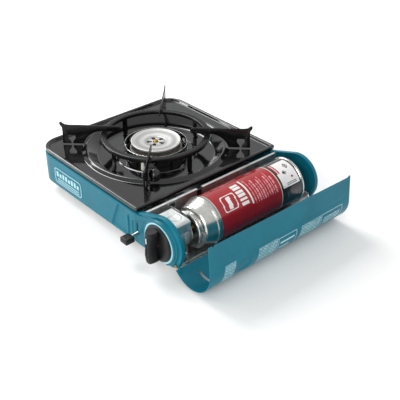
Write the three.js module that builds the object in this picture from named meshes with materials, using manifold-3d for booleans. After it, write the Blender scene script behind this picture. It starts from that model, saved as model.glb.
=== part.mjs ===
// Portable butane stove with a hinged cartridge lid, millimetres, +Z up, knob side facing -Y.
// While building, x = 0 is the right edge of the drip pan and y = 0 the front face of the case.
// The finished group is shifted so that its origin is the middle of its footprint, at ground level.
import * as THREE from 'three';
import { mergeVertices } from 'three/addons/utils/BufferGeometryUtils.js';
import Module from 'manifold-3d';

// ---------------------------------------------------------------- driving dimensions
const gap = 0.3;                // clearance between pieces that touch
const sheet = 1;                // wall of the pressed steel pieces
const caseWidth = 239;          // left wall to the right edge of the drip pan
const caseDepth = 257;          // front face to rear face
const caseBottom = 17;          // lower edge of the case above the ground
const caseTop = 61;             // upper edge of the case
const caseCorner = 30;          // plan radius of the two left corners
const caseFlange = 8;           // inward flange that carries the drip pan
const footHeight = 5.9;
const footRadius = 9;

const panTop = 69;              // cooking surface of the drip pan
const panField = 65.5;          // flat of the pan inside its raised border
const panBorder = 5;            // width of the raised border
const panSkirt = 5;             // depth of the pan's outer edge
const panSkirtInset = 3;        // the lower part of the skirt sits this far inside
const dishRadius = 104;         // outer foot of the raised rim round the dish
const dishDepth = 14;
const buttonRadius = 8.5;
const buttonAngle = 320;        // degrees round the burner axis, from the right
const dishWallSlope = 15;       // how far the dish wall runs inward on its way down

const canRadius = 34.15;        // over the seams
const canStraight = 158.5;      // front seam to rear seam
const canFrontSeam = 72;        // y of the front seam
const canFloorGap = 1.15;
const canSideGap = 7.35;        // heat shield to cartridge
const collarRadius = 24.5;      // stepped collar round the cartridge valve
const collarFront = 45;         // y of the collar's front plane
const valveStemRadius = 2;

const archMargin = 0.25;        // arch radius beyond the cartridge seam
const archShift = new THREE.Vector2(4, 1);   // arch centre from the cartridge axis
const archSlope = THREE.MathUtils.degToRad(18);
const archFoot = THREE.MathUtils.degToRad(-25);
const archStep = 5;             // width of the set-back ledge that the lid seats on
const lidGap = 0.4;
const lidWall = 0.8;
const lidTipX = 1.5;            // free edge of the closed lid at its front
const lidTipRearX = 6;          // and at its rear
const lidOpenAngle = THREE.MathUtils.degToRad(104);

const shieldX = 5.5;            // left face of the upright heat shield
const bossRadius = 31;          // raised round panel behind the knob
const bossRise = 2.5;
const knobRadius = 26;
const knobFront = -22;          // y of the knob's grip
const shaftRadius = 4;

const burnerRadius = 36.5;
const burnerTop = 77;
const windCollarRadius = 46.5;
const ringTop = 88;             // top of the pot-support ring
const ringOuter = 80;
const ringInner = 71;
const finTop = 97.5;
const finOuter = 138;
const finWall = 1.5;

const slotX = 0.6;              // lever slot in the front panel
const slotWidth = 2.5;
const leverWall = 1.5;
const leverPivot = { y: 46, z: 38 };
const leverStripHeight = 5;
const leverMouthZ = 33;         // strip height where it leaves the case
const leverSwing = THREE.MathUtils.degToRad(16);
const hingePinRadius = 1.3;

// ---------------------------------------------------------------- dimensions that follow
const floorBottom = footHeight + gap;
const floorTop = floorBottom + sheet;
const shieldRight = shieldX + sheet;
const canX = shieldRight + canSideGap + canRadius;
const canZ = floorTop + canFloorGap + canRadius;
const archX = canX + archShift.x;
const archZ = canZ + archShift.y;
const archRadius = canRadius + archMargin;
const lidInner = archRadius + lidGap;
const lidOuter = lidInner + lidWall;
const panCentreX = -(caseWidth - 0.5) / 2;
const panCentreY = caseDepth / 2;
const dishFloor = panTop - dishDepth;
const hingeX = archSideX(caseBottom + 3, archRadius) - 2.7;
const hingeZ = caseBottom + 3;
const trayRight = hingeX - 1.4;   // right rim of the base pan, beside the hinge axis
const shieldTop = archRoofZ(shieldRight, archRadius) - 1.4;
const rearSeam = canFrontSeam + canStraight;
const regulatorFront = 12;
const regulatorRear = collarFront - 5;
const regulatorRadius = 18.5;
const coverTop = canZ + 28.5;

const wasm = await Module();
wasm.setup();
const stove = new THREE.Group();
stove.name = 'stove';

// ---------------------------------------------------------------- materials
function finish(color, roughness, metalness) {
  return { color, roughness, metalness };
}
const tealPaint = finish(0x2a8797, 0.35, 0.1);
const blackEnamel = finish(0x17181a, 0.2, 0.0);
const galvanised = finish(0xb4b8b8, 0.35, 0.9);
const brightSteel = finish(0xd3d4d2, 0.2, 1.0);
const castAluminium = finish(0xc9cac8, 0.45, 0.9);
const brass = finish(0xb99a55, 0.35, 1.0);
const blackPlastic = finish(0x1b1b1d, 0.5, 0.0);
const rubber = finish(0x222222, 0.9, 0.0);
const redPrint = finish(0xb01822, 0.3, 0.2);
const ceramic = finish(0xe8e4da, 0.4, 0.0);

// ---------------------------------------------------------------- helpers
const arcSteps = 6;             // straight pieces in each round corner of an outline
const bossSides = 28;
const dishSides = 32;

// Merged triangles of a geometry, without slivers of no area and facing out.
function closedTriangles(geometry) {
  geometry.deleteAttribute('normal');
  geometry.deleteAttribute('uv');
  const merged = mergeVertices(geometry, 1e-4);
  const points = merged.attributes.position.array;
  const index = merged.index.array;
  const kept = [];
  let volume = 0;
  for (let i = 0; i < index.length; i += 3) {
    const [a, b, c] = [index[i], index[i + 1], index[i + 2]];
    if (a === b || b === c || a === c) continue;
    kept.push(a, b, c);
    const [p, q, r] = [a, b, c].map((k) => new THREE.Vector3().fromArray(points, 3 * k));
    volume += p.dot(q.cross(r));
  }
  if (volume < 0) kept.reverse();
  return { points: new Float32Array(points), index: new Uint32Array(kept) };
}

function solid(geometry) {
  const { points, index } = closedTriangles(geometry);
  const mesh = new wasm.Mesh({ numProp: 3, vertProperties: points, triVerts: index });
  return new wasm.Manifold(mesh);
}

function geometryOf(body) {
  const mesh = body.getMesh();
  const geometry = new THREE.BufferGeometry();
  geometry.setAttribute('position', new THREE.BufferAttribute(mesh.vertProperties, 3));
  geometry.setIndex(new THREE.BufferAttribute(mesh.triVerts, 1));
  return geometry;
}

function join(...bodies) {
  return bodies.reduce((sum, body) => sum.add(body));
}

function cut(body, ...tools) {
  return tools.reduce((rest, tool) => rest.subtract(tool), body);
}

function place(name, body, material, position = [0, 0, 0], turn = 0) {
  const mesh = new THREE.Mesh(geometryOf(body), new THREE.MeshStandardMaterial(material));
  mesh.name = name;
  mesh.position.set(...position);
  mesh.rotation.z = turn;
  stove.add(mesh);
  return mesh;
}

function box(x0, x1, y0, y1, z0, z1) {
  const geometry = new THREE.BoxGeometry(x1 - x0, y1 - y0, z1 - z0);
  return solid(geometry.translate((x0 + x1) / 2, (y0 + y1) / 2, (z0 + z1) / 2));
}

// Round bar from one end to the other along x, y or z.
function bar(axis, radius, from, to, centre, sides = 24) {
  const geometry = new THREE.CylinderGeometry(radius, radius, to - from, sides);
  if (axis === 'x') geometry.rotateZ(Math.PI / 2).translate((from + to) / 2, centre[0], centre[1]);
  if (axis === 'y') geometry.translate(centre[0], (from + to) / 2, centre[1]);
  if (axis === 'z') geometry.rotateX(Math.PI / 2).translate(centre[0], centre[1], (from + to) / 2);
  return solid(geometry);
}

function outline(points) {
  return new THREE.Shape(points.map(([a, b]) => new THREE.Vector2(a, b)));
}

// Plan outline (x, y) carried up from z0 to z1.
function slab(shape, z0, z1, curveSegments = arcSteps) {
  const settings = { depth: z1 - z0, bevelEnabled: false, curveSegments };
  return solid(new THREE.ExtrudeGeometry(shape, settings).translate(0, 0, z0));
}

// Upright outline (x, z) carried from y0 back to y1.
function plateXZ(shape, y0, y1, curveSegments = arcSteps) {
  const settings = { depth: y1 - y0, bevelEnabled: false, curveSegments };
  return solid(new THREE.ExtrudeGeometry(shape, settings).rotateX(Math.PI / 2).translate(0, y1, 0));
}

// Upright outline (y, z) carried from x0 to x1.
function plateYZ(shape, x0, x1, curveSegments = arcSteps) {
  const settings = { depth: x1 - x0, bevelEnabled: false, curveSegments };
  const toYZ = new THREE.Matrix4().makeBasis(
    new THREE.Vector3(0, 1, 0), new THREE.Vector3(0, 0, 1), new THREE.Vector3(1, 0, 0));
  return solid(new THREE.ExtrudeGeometry(shape, settings).applyMatrix4(toYZ).translate(x0, 0, 0));
}

// Turned piece about +Z from a profile of [radius, height].
function turned(profile, sides = 48) {
  const points = profile.map(([r, h]) => new THREE.Vector2(r, h));
  return solid(new THREE.LatheGeometry(points, sides).rotateX(Math.PI / 2));
}

// Turned piece about an axis along +Y through the cartridge axis.
function turnedOnCan(profile, sides = 40) {
  const points = profile.map(([r, h]) => new THREE.Vector2(r, h));
  return solid(new THREE.LatheGeometry(points, sides).translate(canX, 0, canZ));
}

function closedRing(profile) {
  return [...profile, profile[0]];
}

function rod(points, radius, steps, sides = 8) {
  const path = new THREE.CatmullRomCurve3(points.map((p) => new THREE.Vector3(...p)));
  return solid(new THREE.ExtrudeGeometry(polygon(radius, sides), { steps, extrudePath: path }));
}

function polygon(radius, sides) {
  const corners = [];
  for (let i = 0; i < sides; i += 1) {
    const angle = (2 * Math.PI * i) / sides;
    corners.push([radius * Math.cos(angle), radius * Math.sin(angle)]);
  }
  return outline(corners);
}

// Plan rectangle with round left corners, and square or round right ones.
function roundedRect(x0, y0, x1, y1, leftRadius, rightRadius) {
  const shape = new THREE.Shape();
  const quarter = Math.PI / 2;
  shape.absarc(x0 + leftRadius, y0 + leftRadius, leftRadius, 2 * quarter, 3 * quarter);
  if (rightRadius > 0) {
    shape.absarc(x1 - rightRadius, y0 + rightRadius, rightRadius, 3 * quarter, 4 * quarter);
    shape.absarc(x1 - rightRadius, y1 - rightRadius, rightRadius, 0, quarter);
  } else {
    shape.lineTo(x1, y0);
    shape.lineTo(x1, y1);
  }
  shape.absarc(x0 + leftRadius, y1 - leftRadius, leftRadius, quarter, 2 * quarter);
  return shape;
}

// Solid between two plan outlines with the same number of points.
function tapered(lower, z0, upper, z1) {
  const foot = lower.getPoints(arcSteps);
  const head = upper.getPoints(arcSteps);
  const count = foot.length;
  const points = [];
  foot.forEach((p) => points.push(p.x, p.y, z0));
  head.forEach((p) => points.push(p.x, p.y, z1));
  const index = [];
  for (let i = 0; i < count; i += 1) {
    const j = (i + 1) % count;
    index.push(i, j, count + j, i, count + j, count + i);
  }
  THREE.ShapeUtils.triangulateShape(foot, []).forEach(([a, b, c]) => {
    index.push(c, b, a, count + a, count + b, count + c);
  });
  const geometry = new THREE.BufferGeometry();
  geometry.setAttribute('position', new THREE.Float32BufferAttribute(points, 3));
  geometry.setIndex(index);
  return solid(geometry);
}

// ---------------------------------------------------------------- arch over the cartridge
// x of the arch's straight right side at a height, and z of its straight roof at an x.
function archSideX(z, radius) {
  const footX = archX + radius * Math.cos(archFoot);
  const footZ = archZ + radius * Math.sin(archFoot);
  return footX + (footZ - z) * Math.tan(archFoot);
}

function archRoofZ(x, radius) {
  const kneeX = archX - radius * Math.sin(archSlope);
  const kneeZ = archZ + radius * Math.cos(archSlope);
  return kneeZ - (kneeX - x) * Math.tan(archSlope);
}

// Outline of the arch from its lower right corner over the top to its left end.
function archCurve(radius, bottom, left) {
  const startsOnSide = bottom < archZ + radius * Math.sin(archFoot) - gap;
  const points = startsOnSide ? [[archSideX(bottom, radius), bottom]] : [];
  const first = startsOnSide ? archFoot : Math.asin((bottom - archZ) / radius);
  const last = Math.PI / 2 + archSlope;
  const steps = 12;
  for (let i = 0; i <= steps; i += 1) {
    const angle = first + ((last - first) * i) / steps;
    points.push([archX + radius * Math.cos(angle), archZ + radius * Math.sin(angle)]);
  }
  points.push([left, archRoofZ(left, radius)]);
  return points;
}

function archShape(radius, bottom, left) {
  return outline([...archCurve(radius, bottom, left), [left, bottom]]);
}

// ---------------------------------------------------------------- case, base, heat shield
// One end of the case beside the cartridge: a face, a step back to a ledge and a rim under the lid.
function archEnd(isFront) {
  const y = (d) => (isFront ? d : caseDepth - d);
  const ledgeY = 3;
  const rimDepth = 9;
  const left = 1.5;
  const band = (outer, inner, from, to, bottom = caseBottom, start = left) => {
    const [low, high] = [Math.min(y(from), y(to)), Math.max(y(from), y(to))];
    const whole = plateXZ(archShape(outer, bottom, start), low, high);
    return inner ? whole.subtract(plateXZ(archShape(inner, bottom - 5, start - 5), low - 1, high + 1)) : whole;
  };
  const faceRadius = archRadius - archStep;
  const face = band(faceRadius, 0, 0, sheet, caseBottom, -sheet);
  const step = band(faceRadius, faceRadius - sheet, 0, ledgeY + sheet);
  const ledge = band(archRadius, faceRadius - sheet, ledgeY, ledgeY + sheet);
  const rimFoot = archZ - archRadius / 4;
  const rimStart = shieldRight + 3 + gap;
  const rim = band(archRadius, archRadius - sheet, ledgeY, rimDepth, rimFoot, rimStart);
  const pinHole = bar('y', hingePinRadius + gap, -5, caseDepth + 5, [hingeX, hingeZ], 12);
  return cut(join(face, step, ledge, rim), pinHole);
}

function frontBoss() {
  const disc = bar('y', bossRadius, -bossRise, -bossRise + sheet, [canX, canZ], bossSides);
  const wall = cut(
    bar('y', bossRadius, -bossRise, sheet, [canX, canZ], bossSides),
    bar('y', bossRadius - sheet, -bossRise - 1, sheet + 1, [canX, canZ], bossSides));
  const below = box(canX - 60, canX + 60, -20, 20, -20, caseBottom);
  return cut(join(disc, wall), below);
}

function outerCase() {
  const wrapEnd = shieldX;
  const plan = roundedRect(-caseWidth, 0, wrapEnd, caseDepth, caseCorner, 0);
  const inner = (inset) => roundedRect(
    -caseWidth + inset, inset, wrapEnd + 40, caseDepth - inset, caseCorner - inset, 0);
  const wrap = cut(slab(plan, caseBottom, caseTop), slab(inner(sheet), caseBottom - 1, caseTop + 1));
  const flangePlan = roundedRect(-caseWidth, 0, 0, caseDepth, caseCorner, 0);
  const flange = cut(
    slab(flangePlan, caseTop - sheet, caseTop),
    slab(inner(caseFlange), caseTop - 5, caseTop + 5));
  const bossOpening = bar('y', bossRadius - sheet, -1, sheet + 1, [canX, canZ], bossSides);
  const front = cut(archEnd(true), bossOpening);
  const shaftHole = bar('y', shaftRadius + 1, -10, 10, [canX, canZ]);
  const slotFoot = leverMouthZ - leverStripHeight / 2 - 1.2;
  const slotHead = leverMouthZ + leverPivot.y * Math.sin(leverSwing) + leverStripHeight / 2 + 1.8;
  const slot = box(slotX, slotX + slotWidth, -5, 4.5, slotFoot, slotHead);
  const whole = join(wrap, flange, front, archEnd(false), frontBoss());
  place('outer_case', cut(whole, shaftHole, slot), tealPaint);
}

function basePan() {
  const lean = 9;
  const rimTop = caseBottom + 3;
  const side = sheet + gap;
  const rimPlan = (inset) => roundedRect(
    -caseWidth + side + inset, side + inset, trayRight - inset, caseDepth - side - inset,
    caseCorner - side - inset, 3);
  const floorPlan = (inset) => roundedRect(
    -caseWidth + side + lean + inset, side + lean + inset, trayRight - lean - inset,
    caseDepth - side - lean - inset, caseCorner - side - inset, 3);
  const outer = join(
    tapered(floorPlan(0), floorBottom, rimPlan(0), caseBottom),
    slab(rimPlan(0), caseBottom, rimTop));
  const inner = join(
    tapered(floorPlan(sheet), floorTop, rimPlan(sheet), caseBottom + sheet),
    slab(rimPlan(sheet), caseBottom + sheet, rimTop + 1));
  const holes = screwPlaces().map(([x, y]) => bar('z', 2, 0, 12, [x, y], 12));
  const vents = [];
  for (let i = 0; i < 6; i += 1) {
    vents.push(box(canX - 12, canX + 12, 100 + 20 * i, 104 + 20 * i, 0, 12));
  }
  const rimNotches = [[-5, 9], [caseDepth - 9, caseDepth + 5]].map(
    ([from, to]) => box(trayRight - 5, trayRight + 5, from, to, caseBottom - 2, rimTop + 1));
  const lowRim = box(trayRight - 3, trayRight + 5, 0, caseDepth, caseBottom + 1, rimTop + 1);
  place('base_pan', cut(outer, inner, ...holes, ...vents, ...rimNotches, lowRim), galvanised);
}

function screwPlaces() {
  const strapReach = 46;
  return [
    [-2, 30], [-2, caseDepth - 30],
    [panCentreX - strapReach, panCentreY], [panCentreX + strapReach, panCentreY],
  ];
}

function footPlaces() {
  const inset = 34;
  const left = -caseWidth + inset;
  const right = trayRight - 22;
  return {
    front_left: [left, inset], front_right: [right, inset],
    rear_left: [left, caseDepth - inset], rear_right: [right, caseDepth - inset],
  };
}

function feetAndScrews() {
  const foot = turned([[0, 0], [footRadius - 1, 0], [footRadius, 1], [footRadius - 1, footHeight], [0, footHeight]], 16);
  Object.entries(footPlaces()).forEach(([corner, [x, y]]) => {
    place(`foot_${corner}`, foot, rubber, [x, y, 0]);
  });
  const shankTop = floorTop + 4.5;
  const screw = turned([
    [0, footHeight - 1.8], [2.4, footHeight - 1.8], [3.6, footHeight - 0.8], [3.6, footHeight],
    [1.6, footHeight], [1.6, shankTop], [0, shankTop]], 12);
  screwPlaces().forEach(([x, y], i) => place(`base_screw_${i + 1}`, screw, brightSteel, [x, y, 0]));
}

function heatShield() {
  const low = floorTop + gap;
  const [front, rear] = [4.6, caseDepth - 4.6];
  const lean = 9;
  const wall = plateYZ(outline([
    [front + lean, low], [rear - lean, low], [rear, low + lean + 4], [rear, shieldTop],
    [front, shieldTop], [front, low + lean + 4]]), shieldX, shieldRight);
  const fold = box(shieldX, shieldRight + 3, front, rear, shieldTop - sheet, shieldTop);
  const foot = box(shieldX - 12, shieldRight, front + lean + 2, rear - lean - 2, low, low + sheet);
  const screwHoles = screwPlaces().slice(0, 2).map(([x, y]) => bar('z', 2, 0, 12, [x, y], 12));
  const pipeHole = bar('x', 4.5, 0, 12, [jetY, jetZ], 16);
  const leadHole = bar('x', 3, 0, 12, [leadHoleY, leadZ], 12);
  const pinHole = bar('x', 2.3, 0, 12, [leverPivot.y, leverPivot.z], 16);
  const forkSlot = box(0, 12, 49, 60, leverPivot.z + 12.5, leverPivot.z + 19.5);
  const notch = box(0, 20, clipY - 4.5, clipY + 4.5, shieldTop - 3.5, shieldTop + 5);
  place('heat_shield', cut(join(wall, fold, foot), pipeHole, leadHole, pinHole, forkSlot, notch,
    ...screwHoles), galvanised);
}

// Spring clip in the notch of the heat shield that holds down the drip pan's edge.
function panClip() {
  const top = shieldTop - 3.5 + gap;
  const half = 4;
  const bridge = box(shieldX - 1.6, shieldRight + 2.6, clipY - half, clipY + half, top, top + sheet);
  const inside = box(shieldRight + gap, shieldRight + gap + sheet, clipY - half, clipY + half, top - 9, top + 0.5);
  const outside = box(shieldX - 1.6, shieldX - gap, clipY - half, clipY + half, top - 6, top + 0.5);
  place('pan_clip', join(bridge, inside, outside), blackPlastic);
}

// ---------------------------------------------------------------- drip pan
// Round button on the dish's rim beside the front fin.
function panButton() {
  const angle = THREE.MathUtils.degToRad(buttonAngle);
  const reach = dishRadius - 6.5;
  const ball = solid(new THREE.SphereGeometry(buttonRadius, 16, 10).rotateX(Math.PI / 2));
  return moved(ball, panCentreX + reach * Math.cos(angle), panCentreY + reach * Math.sin(angle), panTop + 6);
}

function dripPan() {
  const [x0, x1] = [-caseWidth + 1, -0.5];
  const [y0, y1] = [1, caseDepth - 1];
  const radius = caseCorner - 1;
  const plan = (inset) => roundedRect(
    x0 + inset, y0 + inset, x1 - inset, y1 - inset, radius - inset, 0);
  const skirtFoot = panTop - panSkirt;
  const border = cut(
    slab(plan(0), skirtFoot, panTop), slab(plan(sheet), skirtFoot - 1, panTop - sheet),
    slab(plan(panBorder), 0, 100));
  const fieldWall = cut(slab(plan(panBorder), panField - sheet, panTop), slab(plan(panBorder + sheet), 0, 100));
  const plate = join(border, fieldWall, slab(plan(panBorder), panField - sheet, panField));
  const step = cut(slab(plan(0), skirtFoot, skirtFoot + sheet), slab(plan(panSkirtInset + sheet), 0, 100));
  const skirt = cut(
    slab(plan(panSkirtInset), caseTop + gap, skirtFoot + sheet),
    slab(plan(panSkirtInset + sheet), 0, 100));
  const opening = bar('z', dishRadius + 1, 0, 100, [panCentreX, panCentreY], dishSides);
  const wallFoot = dishRadius - 3.5 - dishWallSlope;
  const lip = windCollarRadius - sheet - gap;
  const rim = panTop + 1.8;
  const dish = turned(closedRing([
    [dishRadius + 2.2, panField - sheet], [dishRadius + 2.2, panField], [dishRadius - 0.6, rim - 1.4],
    [dishRadius - 1.8, rim], [dishRadius - 3.5, rim], [wallFoot, dishFloor], [lip, dishFloor], [lip, dishFloor + 5],
    [lip - sheet, dishFloor + 5], [lip - sheet, dishFloor - sheet],
    [wallFoot + 0.7, dishFloor - sheet], [dishRadius - 3, rim - 1.3], [dishRadius - 2, rim - 1.3]]), dishSides);
  const dishPlaced = moved(dish, panCentreX, panCentreY, 0);
  const [ex, ey] = electrodePlace();
  const electrodeHole = bar('z', 3.4, 0, 100, [ex, ey], 8);
  const shell = cut(join(cut(join(plate, step, skirt), opening), dishPlaced), electrodeHole);
  place('drip_pan', join(shell, panButton()), blackEnamel);
}

// The same solid somewhere else, rebuilt from its triangles.
function moved(body, x, y, z, turn = 0) {
  return solid(geometryOf(body).rotateZ(turn).translate(x, y, z));
}

// ---------------------------------------------------------------- burner
const tubeRadius = 9.5;
const tubeZ = 26;
const jetY = 60;
const jetZ = tubeZ;
const leadHoleY = 74;
const leadZ = 12;
const clipY = 101.5;
const socketAngle = Math.atan2(-53.5, 74.25);
const electrodeAngle = THREE.MathUtils.degToRad(300);

function electrodePlace() {
  const reach = windCollarRadius + 5.5;
  return [panCentreX + reach * Math.cos(electrodeAngle), panCentreY + reach * Math.sin(electrodeAngle)];
}

function burnerBase() {
  const bowl = burnerRadius + 1.5;
  const cup = turned(closedRing([
    [13, 14], [13, 46], [bowl, 59], [bowl, 66], [bowl - 1.5, 66], [bowl - 1.5, 60], [11.3, 47],
    [11.3, 16], [9, 16], [9, 14]]), 24);
  const socketOut = solid(socketBar(tubeRadius + 3, 6, 23));
  const socketIn = solid(socketBar(tubeRadius + gap, 2, 25));
  const throat = turned([[0, 16.5], [11.2, 16.5], [11.2, 45], [0, 45]], 24);
  const body = cut(join(cup, cut(socketOut, throat)), socketIn);
  place('burner_base', body, castAluminium, [panCentreX, panCentreY, 0]);
}

function socketBar(radius, from, to) {
  const geometry = new THREE.CylinderGeometry(radius, radius, to - from, 16);
  geometry.rotateZ(Math.PI / 2).translate((from + to) / 2, 0, tubeZ);
  return geometry.rotateZ(socketAngle);
}

function burnerHead() {
  const centre = [panCentreX, panCentreY, 0];
  const ports = 15;
  const ringSolid = turned(closedRing([
    [burnerRadius - 1, 66.3], [burnerRadius - 1, 73.6], [burnerRadius - 5, 73.6], [burnerRadius - 5, 66.3]]), 30);
  const slots = [];
  for (let i = 0; i < ports; i += 1) {
    const geometry = new THREE.BoxGeometry(3, 1.6, 3.5).translate(burnerRadius - 1, 0, 71.9);
    slots.push(solid(geometry.rotateZ((2 * Math.PI * i) / ports)));
  }
  place('flame_port_ring', cut(ringSolid, ...slots), brass, centre);
  const hub = 12;
  const cap = turned(closedRing([
    [7, 72], [hub, 72], [burnerRadius - 4, 73.9], [burnerRadius - 0.8, 73.9], [burnerRadius, 74.7],
    [burnerRadius, burnerTop], [burnerRadius - 1.6, burnerTop], [burnerRadius - 3, 76], [hub + 2, 74.2],
    [hub, 73.4], [7, 73.4]]), 28);
  const capSlots = [];
  for (let i = 0; i < 6; i += 1) {
    const geometry = new THREE.BoxGeometry(3.4, 2.2, 10).translate(10, 0, 73);
    capSlots.push(solid(geometry.rotateZ((2 * Math.PI * i) / 6)));
  }
  place('burner_cap', cut(cap, ...capSlots), castAluminium, centre);
  const nut = turned([
    [0, 62], [4, 62], [4, 70], [6.6, 70], [6.6, 74.5], [5, 75.8], [0, 75.8]], 24);
  place('burner_centre', nut, brass, centre);
}

function windCollar() {
  const foot = dishFloor + gap;
  const ring = turned(closedRing([
    [windCollarRadius, foot], [windCollarRadius, foot + 18], [windCollarRadius - sheet, foot + 18],
    [windCollarRadius - sheet, foot]]), 30);
  const holes = [];
  const count = 10;
  for (let i = 0; i < count; i += 1) {
    const geometry = new THREE.CylinderGeometry(3.2, 3.2, 8, 6);
    geometry.scale(1, 1, 1.6).rotateZ(Math.PI / 2).translate(windCollarRadius, 0, foot + 10);
    holes.push(solid(geometry.rotateZ((2 * Math.PI * (i + 0.5)) / count)));
  }
  place('wind_collar', cut(ring, ...holes), brightSteel, [panCentreX, panCentreY, 0]);
}

// Steel strap that carries the burner above the base.
function burnerStrap() {
  const [half, reach, deckZ] = [10, 40, 39.5];
  const low = floorTop + gap;
  const wall = 1.2;
  const shape = outline([
    [-reach - 12, low], [-reach, low], [-reach, deckZ], [reach, deckZ], [reach, low], [reach + 12, low],
    [reach + 12, low + wall], [reach + wall, low + wall], [reach + wall, deckZ + wall],
    [-reach - wall, deckZ + wall], [-reach - wall, low + wall], [-reach - 12, low + wall]]);
  const deck = box(-22, 22, -17, 17, deckZ, deckZ + wall);
  const strap = join(plateXZ(shape, -half, half), deck);
  const neck = bar('z', 13 + gap, 20, 50, [0, 0], 32);
  const screwHoles = [-46, 46].map((x) => bar('z', 2, 0, 12, [x, 0], 12));
  place('burner_strap', cut(strap, neck, ...screwHoles), galvanised, [panCentreX, panCentreY, 0]);
}

function mixingTube() {
  const mouthX = -8;
  const run = (distance) => new THREE.Vector3(
    panCentreX + distance * Math.cos(socketAngle), panCentreY + distance * Math.sin(socketAngle), tubeZ);
  const path = new THREE.CubicBezierCurve3(
    new THREE.Vector3(mouthX, jetY, tubeZ), new THREE.Vector3(mouthX - 45, jetY, tubeZ), run(62), run(18));
  const ring = polygon(tubeRadius, 10);
  ring.holes.push(polygon(tubeRadius - 1.2, 10));
  place('mixing_tube', solid(new THREE.ExtrudeGeometry(ring, { steps: 11, extrudePath: path })), galvanised);
  const shutterRing = cut(
    bar('x', tubeRadius + 2 * gap + 1, mouthX - 7, mouthX, [jetY, tubeZ]),
    bar('x', tubeRadius + 2 * gap, mouthX - 12, mouthX + 2, [jetY, tubeZ]));
  const window = box(mouthX - 5, mouthX - 2, jetY - 4, jetY + 4, tubeZ + 5, tubeZ + 15);
  place('air_shutter', cut(shutterRing, window), brightSteel);
  const jet = join(
    bar('x', 3, mouthX - 3, 1, [jetY, jetZ], 16), bar('x', 4.6, -4, 0, [jetY, jetZ], 6));
  place('gas_jet', jet, brass);
}

function gasPipe() {
  const start = canX - regulatorRadius - 6;
  const side = shieldRight + 5.5;
  const points = [
    [start, 26, 34], [start - 6, 26, 34], [side + 1, 31, 34], [side, 42, 31], [side, 53, 27.5],
    [side - 3, jetY - 1, jetZ], [1.3, jetY, jetZ]];
  place('gas_pipe', rod(points, 2.2, 20, 6), castAluminium);
}

// ---------------------------------------------------------------- ignition
function ignition() {
  const [x0, y0] = [shieldRight + 3, regulatorFront];
  const body = join(
    box(x0, x0 + 14, y0, y0 + 22, 10, 26), bar('y', 5, y0 + 21, y0 + 28, [x0 + 7, 18], 16));
  place('piezo_igniter', body, blackPlastic);
  const [ex, ey] = electrodePlace();
  const lead = [
    [x0 + 7, y0 + 28.4, 18], [x0 + 6, y0 + 38, 16], [x0 + 3, leadHoleY - 8, leadZ + 1],
    [shieldX, leadHoleY, leadZ], [-22, leadHoleY + 4, leadZ], [ex + 30, ey - 4, leadZ],
    [ex + 8, ey, leadZ + 3], [ex, ey, 26], [ex, ey, 41]];
  place('ignition_lead', rod(lead, 1.1, 28, 5), rubber);
  const insulator = turned([[0, 41.5], [2.6, 41.5], [2.6, 60], [2, 66], [0, 66]], 16);
  place('electrode_insulator', insulator, ceramic, [ex, ey, 0]);
  const tip = rod([[0, 0, 66.3], [0, 0, 71], [-1.6, 0, 74.4], [-4.2, 0, 76]], 0.7, 10, 8);
  place('electrode_wire', tip, brightSteel, [ex, ey, 0], electrodeAngle);
  const tabHole = bar('z', 2.6 + gap, 40, 60, [0, 0], 16);
  const tab = cut(box(-5, 5, -5, 5, 48, 49.2), tabHole);
  const post = box(4, 5, -5, 5, 48, dishFloor - sheet - gap);
  place('electrode_bracket', join(tab, post), galvanised, [ex, ey, 0], electrodeAngle);
}

// ---------------------------------------------------------------- pot support
const finAngles = { right: 45, back: 135, left: 225, front: 315 };

function potSupportRing() {
  const wall = 1.2;
  const foot = ringTop - 6;
  const channel = turned(closedRing([
    [ringOuter, foot], [ringOuter, ringTop - 1], [ringOuter - 1, ringTop], [ringInner + 1, ringTop],
    [ringInner, ringTop - 1], [ringInner, foot + 1], [ringInner + wall, foot + 1],
    [ringInner + wall, ringTop - wall - 0.5], [ringOuter - wall, ringTop - wall - 0.5],
    [ringOuter - wall, foot]]), 32);
  const legs = [];
  for (let i = 0; i < 4; i += 1) {
    const middle = (ringOuter + ringInner) / 2;
    const leg = new THREE.BoxGeometry(wall, 9, ringTop - wall - dishFloor - gap);
    leg.translate(middle, 0, (ringTop - wall + dishFloor + gap) / 2);
    legs.push(solid(leg.rotateZ((Math.PI * i) / 2)));
  }
  place('pot_support_ring', join(channel, ...legs), blackEnamel, [panCentreX, panCentreY, 0]);
}

// Upright fin drawn as distance from the burner axis against height.
function finSolid() {
  const foot = panField + 1.8;
  const seat = ringTop + gap;
  const inner = finOuter - 87;
  const slot = finOuter - 14;
  const shape = new THREE.Shape();
  shape.moveTo(dishRadius + 2.5, foot);
  shape.lineTo(slot - 1.2, foot);
  shape.lineTo(slot - 1.2, foot + 2.5);
  shape.lineTo(slot - 6, foot + 9.5);
  shape.lineTo(slot - 5, foot + 14);
  shape.lineTo(slot + 5, foot + 14);
  shape.lineTo(slot + 6, foot + 9.5);
  shape.lineTo(slot + 1.2, foot + 2.5);
  shape.lineTo(slot + 1.2, foot);
  shape.lineTo(finOuter, foot);
  shape.lineTo(finOuter - 1, finTop - 12);
  shape.quadraticCurveTo(finOuter - 1, finTop - 3, finOuter + 2.5, finTop + 0.5);
  shape.lineTo(finOuter + 2.5, finTop + 3.7);
  shape.lineTo(finOuter + 1.5, finTop + 4.7);
  shape.lineTo(finOuter - 0.5, finTop + 4.7);
  shape.lineTo(finOuter - 4, finTop + 1.2);
  shape.lineTo(finOuter - 9, finTop);
  shape.lineTo(inner + 4, finTop);
  shape.absarc(inner + 4, (finTop + seat) / 2 + 0.5, (finTop - seat) / 2 - 0.5, Math.PI / 2, 3 * Math.PI / 2);
  shape.lineTo(ringOuter + 3, seat);
  shape.quadraticCurveTo(dishRadius - 3.5, seat - 4, dishRadius + 2.5, foot);
  return plateXZ(shape, -finWall / 2, finWall / 2, 7);
}

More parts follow.
